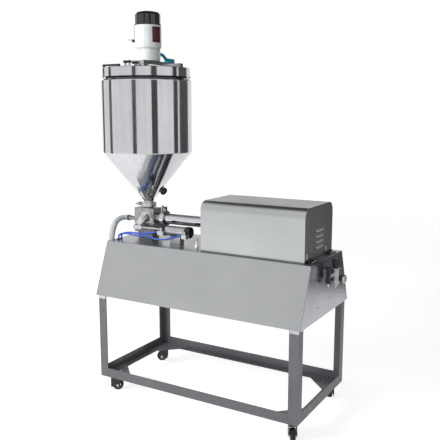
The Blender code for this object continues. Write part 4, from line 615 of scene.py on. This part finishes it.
@dataclass
class Hood:
    """Tipping hood with its louvres, hem, gasket, catch and hinges."""

    lip: float = 6 * MM
    ball_r: float = 6 * MM
    leaf_screws: int = 3
    leaf_step: float = 16 * MM
    louvres: int = 4
    pitch: float = 22 * MM
    top_z: float = 785 * MM
    length: float = 84 * MM
    line_h: float = 1.2 * MM    # dark joint lines above and below the base strip

    def build(self) -> None:
        """Dress the hood and add what is pressed into it or screwed to it."""
        refine_all((("hood_cover", SATIN_SHEET, 0.6), ("hood_seat", TURNED, 0.4),
                    ("hood_catch", WHITE_NYLON, 0.3)))
        seat_low, seat_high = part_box("hood_seat")
        self.louvre_lips(seat_high[0], middle(seat_low, seat_high)[1])
        for name, z in (("low", seat_low[2]), ("high", seat_high[2] - self.line_h)):
            line = block((seat_low[0], seat_low[1] - PROUD / 2, z),
                         (seat_high[0] + PROUD / 2, seat_low[1] + 2 * MM, z + self.line_h))
            finished("seat_joint_" + name, line, BLACK_NYLON)
        post_low, post_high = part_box("hood_catch")
        centre = shift(*middle(post_low, post_high)[:2], post_high[2])
        ball = [(self.ball_r * math.sin(a), -self.ball_r * math.cos(a))
                for a in (math.pi * i / 10 for i in range(11))]
        finished("catch_ball", lathe(ball, centre, 32), TURNED)
        for name in ("front", "rear"):
            refine("hinge_leaf_" + name, BLACK_STEEL, 0.4 * MM)
            leaf_low, leaf_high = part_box("hinge_leaf_" + name)
            start = (leaf_high[0] - 8 * MM, leaf_low[1] + 9 * MM, leaf_low[2] + 2.5 * MM)
            pattern("hinge_screws_" + name, Layout.ROW, screw_head(4.6 * MM, 2.6 * MM), TURNED, "machine",
                    Matrix.Translation(start), self.leaf_screws, step=(0, self.leaf_step, 0))

    def louvre_lips(self, x: float, y: float) -> None:
        """Press a hooded lip over each louvre slot.

        Args:
            x: The hood's end face.
            y: The middle of the louvres.
        """
        bm = bmesh.new()
        steps, bends = 12, 6        # faces along a lip, and round its quarter turn
        rows = []
        for i in range(steps + 1):
            along = -self.length / 2 + self.length * i / steps
            swell = math.sqrt(max(0.0, 1 - (2 * i / steps - 1) ** 4))
            row = []
            for k in range(bends + 1):
                angle = math.pi * k / (2 * bends)
                out = self.lip * swell * math.sin(angle) + 0.1 * MM
                row.append(bm.verts.new((out, along, 6 * MM - 9 * MM * (1 - math.cos(angle)) * swell)))
            rows.append(row)
        for first, second in zip(rows, rows[1:]):
            for k in range(bends):
                bm.faces.new((first[k], second[k], second[k + 1], first[k + 1]))
        bmesh.ops.recalc_face_normals(bm, faces=bm.faces)
        bmesh.ops.solidify(bm, geom=bm.faces[:], thickness=0.5 * MM)
        # The lips' pale colour is a painted highlight.
        pattern("louvre_lips", Layout.ROW, bm, PRESSED_LIP_HIGHLIGHT, "hood", shift(x, y, self.top_z),
                self.louvres, step=(0, 0, -self.pitch))


@dataclass
class Hopper:
    """Polished cone hopper with its seams, a black ring at the lid's rim as painted shade, and its level sensor.
    """

    bead: float = 1.2 * MM
    seams: tuple[tuple[str, float], ...] = (("cone", 1068 * MM), ("shoulder", 1377 * MM))  # and heights

    def build(self) -> None:
        """Dress the hopper and its fittings."""
        refine("hopper", MIRROR_SHEET, 0.0, turned_about=2)
        low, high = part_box("hopper")
        axis_x = middle(low, high)[0]
        centre = shift(axis_x, 0, 0)
        radius = (high[0] - low[0]) / 2
        for name, z in self.seams:
            ring = [(radius - self.bead - 0.05 * MM + self.bead * math.cos(a), z + self.bead * math.sin(a))
                    for a in (math.tau * i / 10 for i in range(10))]
            finished("weld_seam_" + name, lathe(ring, centre, 96), TURNED)
        lid_low, lid_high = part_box("lid")
        # Black ring at the lid's foot: painted shade for the dark groove line where the hopper's rim bevels in
        # under the lid.
        rim_shade_r = (lid_high[0] - axis_x) + 0.6 * MM
        rim_shade = [(rim_shade_r - 4 * MM, lid_low[2] + 1.2 * MM), (rim_shade_r, lid_low[2] + 1.2 * MM),
                (rim_shade_r, lid_low[2] - 0.4 * MM), (rim_shade_r - 4 * MM, lid_low[2] - 0.4 * MM)]
        finished("lid_seal", lathe(rim_shade, centre, 96), BLACK_NYLON)
        refine("level_sensor", BLACK_NYLON, 0.4 * MM)


@dataclass
class Lid:
    """Split lid with its flap, strap handle and wing knobs."""

    cap_r: float = 9.5 * MM
    knob_x: tuple[float, float] = (-415.65 * MM, -393.65 * MM)
    knob_y: float = -90 * MM

    def build(self) -> None:
        """Dress the lid, and cap its two knobs."""
        refine_all((("lid", MIRROR_SHEET, 0.3), ("lid_flap", MIRROR_SHEET, 0.3),
                    ("flap_strap", BLACK_NYLON, 0.8)))
        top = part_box("lid")[1][2]
        for index, x in enumerate(self.knob_x):
            place = shift(x, self.knob_y, top - 11 * MM)
            cap = lathe([(0, 11.4 * MM), (6 * MM, 11.4 * MM), (self.cap_r, 9 * MM), (self.cap_r, 2 * MM),
                         (7 * MM, -0.3 * MM), (4.5 * MM, -0.3 * MM), (4.5 * MM, 0.5 * MM), (0, 0.5 * MM)],
                        place, 32)
            finished(f"knob_cap_{index}", cap, BLACK_NYLON)
            post = lathe([(5.2 * MM, -0.4 * MM), (5.2 * MM, -8 * MM), (4.6 * MM, -8 * MM),
                          (4.6 * MM, -0.4 * MM)], place, 24)
            finished(f"knob_post_{index}", post, ZINC)


@dataclass
class StirrerDrive:
    """Beam, geared motor, fan cover, terminal box and feed elbow."""

    rib_count: int = 36
    rib: tuple[float, float] = (1.2 * MM, 1.6 * MM)     # width and height of a rib
    plate_arc: tuple[float, float] = (-33.0, 8.0)       # nameplate's ends, degrees from +X
    plate_drop: tuple[float, float] = (74 * MM, 12 * MM)    # its foot and head below the motor's top
    vents: int = 18
    vent_ring_r: float = 17 * MM
    bolts: int = 6

    def build(self) -> None:
        """Dress the drive and add its ribs, nameplate, matt black vent patches as painted shade, and screws."""
        refine_all((("motor_beam", TURNED, 0.8), ("gearbox", CAST_ENAMEL, 1.0),
                    ("motor_body", CAST_ENAMEL, 0.4), ("terminal_box", CAST_ENAMEL, 1.0),
                    ("fan_cover", BLACK_ENAMEL, 0.3), ("feed_elbow", CYAN_PLASTIC, 0.6),
                    ("stirrer", TURNED, 0.3), ("motor_rotor", ALUMINIUM, 0.0)))
        low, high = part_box("motor_body")
        centre = middle(low, high)[:2]
        radius = (high[0] - low[0]) / 2
        width, height = self.rib
        rib = block((-0.5 * MM, -width / 2, 0), (height, width / 2, high[2] - low[2] - 16 * MM))
        pattern("motor_ribs", Layout.RING, rib, CAST_ENAMEL, "machine",
                shift(*centre, low[2] + 10 * MM), self.rib_count, radius - 1.0 * MM)
        self.nameplate(centre, radius + 1.0 * MM, high[2])
        cover_low, cover_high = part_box("fan_cover")
        # Matt black patches, flush with the fan cover: painted shade standing in for the dark inside its vents.
        vent_shade = block((-11 * MM, -1.3 * MM, -1.6 * MM), (11 * MM, 1.3 * MM, 0.05 * MM))
        pattern("fan_vents", Layout.RING, vent_shade, BLACK_NYLON, "machine",
                shift(*centre, cover_high[2] - 0.1 * MM), self.vents, self.vent_ring_r)
        band = lathe([(radius + 0.9 * MM, 4 * MM), (radius + 0.9 * MM, -2 * MM), (radius - 2 * MM, -2 * MM),
                      (radius - 2 * MM, 4 * MM)], shift(*centre, cover_low[2]), 96)
        finished("fan_cover_band", soften_mesh(band), BLACK_ENAMEL)
        box_low, box_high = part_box("terminal_box")
        lid = block((box_low[0] - 0.2 * MM, box_low[1] - 1 * MM, box_low[2] + 4 * MM),
                    (box_low[0] + 4 * MM, box_high[1] + 1 * MM, box_high[2] - 0.5 * MM))
        soften(finished("terminal_lid", lid, CAST_ENAMEL), 1 * MM)
        gland = lathe([(0, 0), (8 * MM, 0), (8 * MM, -5 * MM), (6 * MM, -9 * MM), (0, -9 * MM)],
                      shift(*middle(box_low, box_high)[:2], box_low[2]), 24)
        finished("cable_gland", gland, BLACK_NYLON)
        gear_low, gear_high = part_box("gearbox")
        bolt = screw_head(4 * MM, 4 * MM)
        pattern("gearbox_bolts", Layout.RING, bolt, ZINC, "machine",
                shift(*centre, gear_high[2] - 3.8 * MM) @ Matrix.Rotation(0.4, 4, "Z"),
                self.bolts, (gear_high[0] - gear_low[0]) / 2 - 2 * MM)

    def nameplate(self, centre: tuple[float, float], radius: float, top: float) -> None:
        """Bend a bare plate and its dark border round the motor.

        Args:
            centre: The motor's axis.
            radius: Inside radius of the plate.
            top: Height of the motor's top.
        """
        first, last = self.plate_arc
        foot, head = self.plate_drop
        steps = 14
        for name, finish, grow, out in (("nameplate_border", BLACK_NYLON, 1.6, 0.0),
                                        ("nameplate", MAROON, 0.0, 0.25 * MM)):
            bm = bmesh.new()
            ends = (top - foot - grow * MM, top - head + grow * MM)
            rows = []
            for i in range(steps + 1):
                angle = math.radians(first - grow + (last - first + 2 * grow) * i / steps)
                x = centre[0] + (radius + out) * math.cos(angle)
                y = centre[1] + (radius + out) * math.sin(angle)
                rows.append([bm.verts.new((x, y, z)) for z in ends])
            for one, two in zip(rows, rows[1:]):
                bm.faces.new((one[0], two[0], two[1], one[1]))
            bmesh.ops.solidify(bm, geom=bm.faces[:], thickness=0.6 * MM)
            bmesh.ops.recalc_face_normals(bm, faces=bm.faces)
            finished(name, bm, finish)


@dataclass
class Valve:
    """Rotary valve block, plug, lever, actuator and air tubes."""

    axis_y: float = -62 * MM        # the actuator's own axis
    axis_z: float = 731.5 * MM
    cylinder_r: float = 22 * MM
    front_cap: float = 26 * MM      # the dark caps' lengths
    rear_cap: float = 22 * MM

    def build(self) -> None:
        """Dress the valve and its actuator."""
        refine_all((("valve_body", CAST_STEEL, 1.2), ("valve_plug", TURNED, 0.5),
                    ("valve_lever", TURNED, 0.5), ("neck_clamp", TURNED, 0.8),
                    ("cylinder_clamp", TURNED, 0.8),
                    ("neck_clamp_nut", TURNED, 0.6), ("cylinder_clamp_nut", TURNED, 0.6),
                    ("air_tube_front", BLUE_TUBE, 0.0), ("air_tube_rear", BLUE_TUBE, 0.0)))
        self.actuator()

    def actuator(self) -> None:
        """Dress the actuator with its dark caps and its rod."""
        refine("actuator_cylinder", ALUMINIUM, 0.5 * MM)
        refine("actuator_rod", TURNED, 0.4 * MM)
        shell = frame["nodes"]["actuator_cylinder"].data.vertices
        x0, x1 = min(v.co.x for v in shell), max(v.co.x for v in shell)
        r = self.cylinder_r
        place = shift(0, self.axis_y, self.axis_z) @ Matrix.Rotation(math.pi / 2, 4, "Y")
        for name, low, high in (("front", x0 - PROUD, x0 + self.front_cap),
                                ("rear", x1 - self.rear_cap, x1 + PROUD)):
            cap = lathe([(r + 1.6 * MM, high), (r + 2.2 * MM, high - 2 * MM), (r + 2.2 * MM, low + 2 * MM),
                         (r + 1.6 * MM, low), (9 * MM, low), (9 * MM, low + 0.2 * MM),
                         (r + 0.1 * MM, low + 0.2 * MM), (r + 0.1 * MM, high)], place, 48)
            finished("actuator_cap_" + name, cap, BLACK_NYLON)


@dataclass
class ProductLine:
    """Measuring cylinder, its piston and rod, the support and the air cylinder."""

    def build(self) -> None:
        """Dress the product side."""
        refine("product_cylinder", MIRROR_SHEET, 0.0, turned_about=0)
        refine_all((("product_piston", PTFE, 0.3), ("drive_rod", TURNED, 0.3),
                    ("tube_support", ALUMINIUM, 0.8), ("air_cylinder_barrel", ALUMINIUM, 0.3),
                    ("air_cylinder_caps", ALUMINIUM, 0.8)))


@dataclass
class Outlet:
    """Ribbed hose from the valve's spout to the nozzle."""

    rib_pitch: float = 4.0 * MM
    rib_r: float = 0.7 * MM
    hose_r: float = 12 * MM
    band_r: tuple[float, float] = (12.1 * MM, 13.4 * MM)    # inside and outside of the hose's bands
    spout_z: float = 758 * MM
    nozzle: tuple[float, float] = (-505.65 * MM, -105 * MM)     # the nozzle's axis
    end_x: float = -488 * MM    # the cabinet's filling end, from which the route is measured
    # The hose's route in millimetres, off the spout and down to the nozzle.
    route: tuple[tuple[float, float, float], ...] = (
        (-6, 0, 758), (-10, 0, 758), (-23, -5, 758.5), (-33, -18, 757), (-38, -36, 752),
        (-38, -55, 743), (-33, -74, 728), (-29, -90, 709), (-26.5, -100, 688), (-25, -105, 665),
        (-25, -105, 645), (-25, -105, 632))

    def build(self) -> None:
        """Dress the hose and the nozzle, and add the hose's ribs and bands."""
        refine("outlet_hose", CLEAR_HOSE, 0.0)
        self.ribs()
        refine("nozzle", TURNED, 0.5 * MM)
        low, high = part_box("outlet_hose")
        spout = Vector((high[0] - 6 * MM, 0, self.spout_z))
        inner, outer = self.band_r
        band = lathe([(outer, 4 * MM), (outer, -4 * MM), (inner, -4 * MM), (inner, 4 * MM)],
                     frame_at(spout, (1, 0, 0)), 48)
        finished("hose_band_top", soften_mesh(band, 0.3 * MM), BLACK_STEEL)
        foot = lathe([(outer, 14 * MM), (outer, 6 * MM), (inner, 6 * MM), (inner, 14 * MM)],
                     shift(*self.nozzle, low[2]), 48)
        finished("hose_band_foot", soften_mesh(foot, 0.3 * MM), ZINC)

    def ribs(self) -> None:
        """Lay evenly spaced rings along the hose, each square to the line it runs on."""
        data = bpy.data.curves.new("hose_line", "CURVE")
        data.dimensions = "3D"
        spline = data.splines.new("POLY")
        spline.points.add(len(self.route) - 1)
        for point, (x, y, z) in zip(spline.points, self.route):
            point.co = (self.end_x + x * MM, y * MM, z * MM, 1)
        line = placed("hose_line", data)
        ring = [(self.hose_r - 0.3 * MM + self.rib_r * math.cos(a), self.rib_r * math.sin(a))
                for a in (math.tau * i / 6 for i in range(6))]
        length = sum((Vector(b) - Vector(a)).length for a, b in zip(self.route, self.route[1:])) * MM
        pattern("hose_ribs", Layout.PATH, lathe(ring, Matrix.Identity(4), 20), WHITE_NYLON, "machine",
                Matrix.Identity(4), int(length / self.rib_pitch), path=line)
        bpy.data.objects.remove(line)


@dataclass
class AirUnit:
    """Filter regulator with its bowl, knob and gauge on the right-hand panel."""

    knob_ribs: int = 20
    ticks: int = 21
    needle_turn: float = 2.3        # radians round the dial
    inlet_low: tuple[float, float, float] = (506.95 * MM, -46.4 * MM, 584.6 * MM)
    inlet_high: tuple[float, float, float] = (523.75 * MM, -29.6 * MM, 650.4 * MM)
    # The bowl's radii and heights.
    bowl: tuple[tuple[float, float], ...] = (
        (0, 568.4 * MM), (4.4 * MM, 568.4 * MM), (8.4 * MM, 572 * MM), (14.4 * MM, 580 * MM),
        (14.4 * MM, 589.6 * MM), (0, 589.6 * MM))

    def build(self) -> None:
        """Dress the air unit and add its bowl, collar, dial and needle."""
        refine("filter_regulator", ZINC, 0.8 * MM)
        refine("regulator_knob", BLACK_NYLON, 0.5 * MM)
        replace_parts(self.gauge_case(), "pressure_gauge")
        low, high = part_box("regulator_knob")
        centre = middle(low, high)[:2]
        radius = (high[0] - low[0]) / 2
        rib = block((-0.4 * MM, -0.9 * MM, 0), (0.7 * MM, 0.9 * MM, 24 * MM))
        pattern("knob_ribs", Layout.RING, rib, BLACK_NYLON, "knob",
                shift(*centre, low[2] + 10 * MM), self.knob_ribs, radius - 0.5 * MM)
        collar = lathe([(radius + 1.4 * MM, 3 * MM), (radius + 2 * MM, 1.5 * MM), (radius + 2 * MM, -3 * MM),
                        (radius - 2 * MM, -3 * MM), (radius - 2 * MM, 3 * MM)],
                       shift(*centre, low[2] - 1.4 * MM), 48)
        finished("regulator_collar", collar, TURNED)
        self.gauge()
        inlet = block(self.inlet_low, self.inlet_high)
        soften(finished("inlet_valve_cover", inlet, BLACK_NYLON), 1.5 * MM)
        bowl = lathe(self.bowl, shift(*centre, 0), 48)
        finished("filter_bowl", bowl, BOWL)

    def gauge_case(self) -> Object:
        """Turn the gauge's black case, open in front for its dial, and return it."""
        low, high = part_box("pressure_gauge")
        centre = middle(low, high)[1:]
        radius, depth = (high[2] - low[2]) / 2, high[0] - low[0]
        profile = [(0, -0.7 * MM), (radius - 1.9 * MM, -0.7 * MM), (radius - 1.9 * MM, -0.2 * MM),
                   (radius, -0.7 * MM), (radius, 5 * MM - depth), (8 * MM, 3 * MM - depth), (8 * MM, -depth),
                   (0, -depth)]
        case = lathe(profile, frame_at((high[0], *centre), (1, 0, 0)), 48)
        return finished("gauge_case", case, BLACK_STEEL)

    def gauge(self) -> None:
        """Give the gauge its bezel, dial, ticks and needle, facing +X."""
        low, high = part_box("pressure_gauge")
        centre = middle(low, high)[1:]
        radius = (high[2] - low[2]) / 2
        place = frame_at((high[0], *centre), (1, 0, 0))
        bezel = lathe([(radius + 0.4 * MM, -7 * MM), (radius + 0.4 * MM, -0.6 * MM),
                       (radius - 0.8 * MM, -0.05 * MM), (radius - 2 * MM, -0.1 * MM),
                       (radius - 2 * MM, -1 * MM), (radius - 0.2 * MM, -7 * MM)], place, 48)
        finished("gauge_bezel", bezel, TURNED)
        dial = lathe([(0, -0.25 * MM), (radius - 2 * MM, -0.25 * MM), (radius - 2 * MM, -0.6 * MM),
                      (0, -0.6 * MM)], place, 48)
        finished("gauge_dial", dial, DIAL)
        tick = block((-1.1 * MM, -0.2 * MM, 0), (1.1 * MM, 0.2 * MM, 0.15 * MM))
        pattern("gauge_ticks", Layout.RING, tick, BLACK_NYLON, "machine",
                place @ shift(0, 0, -0.24 * MM), self.ticks, radius - 4 * MM)
        needle = block((-2 * MM, -0.35 * MM, -0.24 * MM), (9 * MM, 0.35 * MM, -0.08 * MM))
        needle.transform(place @ Matrix.Rotation(self.needle_turn, 4, "Z"))
        finished("gauge_needle", needle, BLACK_NYLON)


# ---------------- studio
@dataclass
class Studio:
    """Pale floor, soft lamps and flags round the machine, and the camera."""

    azimuth: float = 30.47      # camera round from the front, degrees
    tilt: float = 9.4           # camera's downward look, degrees
    lens: float = 52.49
    eye: tuple[float, float, float] = (1.37935, -2.3348, 1.2359)
    aim: tuple[float, float, float] = (0.0, 0.0, 0.8)       # what the lamps face
    ambient: float = 0.55       # level of the white surroundings as light
    floor_half: float = 12.0
    floor_grey: float = 0.5
    floor_glow: float = 0.76    # brings the unshadowed floor up to the surroundings' white
    # Name, place, size in metres and power in watts.
    lamps: tuple[tuple[str, tuple[float, float, float], float, float], ...] = (
        ("key", (-2.4, -3.0, 2.6), 2.0, 150.0), ("fill", (0.4, -3.6, 1.4), 2.0, 24.0),
        ("top", (-0.6, 0.4, 3.0), 1.6, 14.0))
    cloth: str = "#626264"
    # Dark flags, hidden from the camera: degrees from its side, distance and width in metres.
    flags: tuple[tuple[float, float, float], ...] = (
        (-136, 4.6, 1.0), (-98, 4.6, 0.7), (-30, 4.6, 0.8), (22, 4.6, 1.3), (84, 4.6, 1.2), (118, 2.2, 1.6))
    ceiling_z: float = 3.2
    ceiling: tuple[float, float, float, float] = (-3.0, 3.0, -0.4, 6.0)     # low and high x, low and high y

    def build(self) -> None:
        """Make the floor, world, flags, lamps and camera."""
        scene = bpy.context.scene
        scene.view_settings.view_transform = "Standard"
        self.floor()
        self.world()
        self.stand_flags()
        for lamp in self.lamps:
            self.lamp(*lamp)
        turn, down = math.radians(self.azimuth), math.radians(self.tilt)
        look = Vector((-math.sin(turn) * math.cos(down), math.cos(turn) * math.cos(down), -math.sin(down)))
        data = bpy.data.cameras.new("camera")
        data.lens = self.lens
        data.clip_end = 50.0
        camera = placed("camera", data)
        camera.location = self.eye
        camera.rotation_euler = look.to_track_quat("-Z", "Y").to_euler()
        scene.camera = camera

    def lamp(self, name: str, place: Sequence[float], size: float, power: float) -> None:
        """Add one square soft lamp, turned to the machine's middle and not seen in gloss.

        Args:
            name: The lamp's name.
            place: Its place.
            size: Its side in metres.
            power: Its power in watts.
        """
        data = bpy.data.lights.new(name, "AREA")
        data.size = size
        data.energy = power
        item = placed(name, data)
        item.location = place
        item.rotation_euler = (Vector(self.aim) - Vector(place)).to_track_quat("-Z", "Y").to_euler()
        item.visible_glossy = False

    def seen(self, tree: NodeTree) -> NodeSocket:
        """Return 1 for camera, glossy and transmission rays and 0 for the rest.

        Args:
            tree: The material's or world's nodes.

        Returns:
            The socket that holds it.
        """
        rays = add_node(tree, "ShaderNodeLightPath").outputs
        some = add_node(tree, "ShaderNodeMath", {"operation": "MAXIMUM"},
                        {0: rays["Is Camera Ray"], 1: rays["Is Glossy Ray"]})
        return add_node(tree, "ShaderNodeMath", {"operation": "MAXIMUM"},
                        {0: some.outputs[0], 1: rays["Is Transmission Ray"]}).outputs[0]

    def matt(self, name: str, colour: Sequence[float]) -> Material:
        """Make a plain matt material.

        Args:
            name: Its name.
            colour: Linear RGBA.

        Returns:
            The material.
        """
        material = bpy.data.materials.new(name)
        material.use_nodes = True
        shader = material.node_tree.nodes["Principled BSDF"]
        shader.inputs["Base Color"].default_value = colour
        shader.inputs["Roughness"].default_value = MATT
        return material

    def stand_flags(self) -> None:
        """Stand flags round the set and a ceiling over it, which polished steel shows as dark bands."""
        material = self.matt("black_flag_cloth", linear(self.cloth))
        x0, x1, y0, y1 = self.ceiling
        sheets = [[Vector((x, y, self.ceiling_z)) for x, y in ((x0, y0), (x1, y0), (x1, y1), (x0, y1))]]
        for degrees, far, width in self.flags:
            turn = math.radians(self.azimuth + degrees)
            centre = Vector((math.sin(turn), -math.cos(turn), 0)) * far
            along = Vector((math.cos(turn), math.sin(turn), 0)) * width / 2
            sheets.append([centre + side * along + Vector((0, 0, z)) for side, z in
                           ((-1, 0), (1, 0), (1, self.ceiling_z), (-1, self.ceiling_z))])
        for index, corners in enumerate(sheets):
            bm = bmesh.new()
            bm.faces.new([bm.verts.new(corner) for corner in corners])
            mesh = bpy.data.meshes.new(f"flag_{index}")
            bm.to_mesh(mesh)
            bm.free()
            mesh.materials.append(material)
            flag = placed(f"flag_{index}", mesh)
            flag.visible_camera = False

    def floor(self) -> None:
        """Lay the pale floor, which keeps the machine's shadow."""
        bm = bmesh.new()
        bmesh.ops.create_grid(bm, x_segments=1, y_segments=1, size=self.floor_half)
        mesh = bpy.data.meshes.new("floor")
        bm.to_mesh(mesh)
        bm.free()
        item = placed("floor", mesh)
        item.location.z = CAD_BOX[0][2] - 0.05 * MM
        material = self.matt("pale_floor", (self.floor_grey,) * 3 + (1,))
        tree = material.node_tree
        shader = tree.nodes["Principled BSDF"]
        shader.inputs["Emission Color"].default_value = (1, 1, 1, 1)
        glow = add_node(tree, "ShaderNodeMath", {"operation": "MULTIPLY", 1: self.floor_glow},
                        {0: self.seen(tree)})
        tree.links.new(glow.outputs[0], shader.inputs["Emission Strength"])
        mesh.materials.append(material)

    def world(self) -> None:
        """Surround the machine with plain white, the same to the eye, in gloss and through glass."""
        world = bpy.data.worlds.new("studio")
        world.use_nodes = True
        bpy.context.scene.world = world
        tree = world.node_tree
        tree.nodes.clear()
        level = add_node(tree, "ShaderNodeMapRange", {"To Min": self.ambient, "To Max": 1.0},
                         {"Value": self.seen(tree)})
        back = add_node(tree, "ShaderNodeBackground", {"Color": (1, 1, 1, 1)}, {"Strength": level.outputs[0]})
        add_node(tree, "ShaderNodeOutputWorld", links={0: back.outputs[0]})


def main() -> None:
    """Build every assembly in order, then the studio."""
    logging.basicConfig(level=logging.INFO, format="%(message)s")
    for assembly in (Stand(), Casters(), Cabinet(), Hood(), Hopper(), Lid(), StirrerDrive(), Valve(),
                     ProductLine(), Outlet(), AirUnit()):
        LOG.info("building %s", type(assembly).__name__)
        assembly.build()
    Studio().build()
    bpy.context.view_layer.update()


if __name__ == "__main__":
    main()
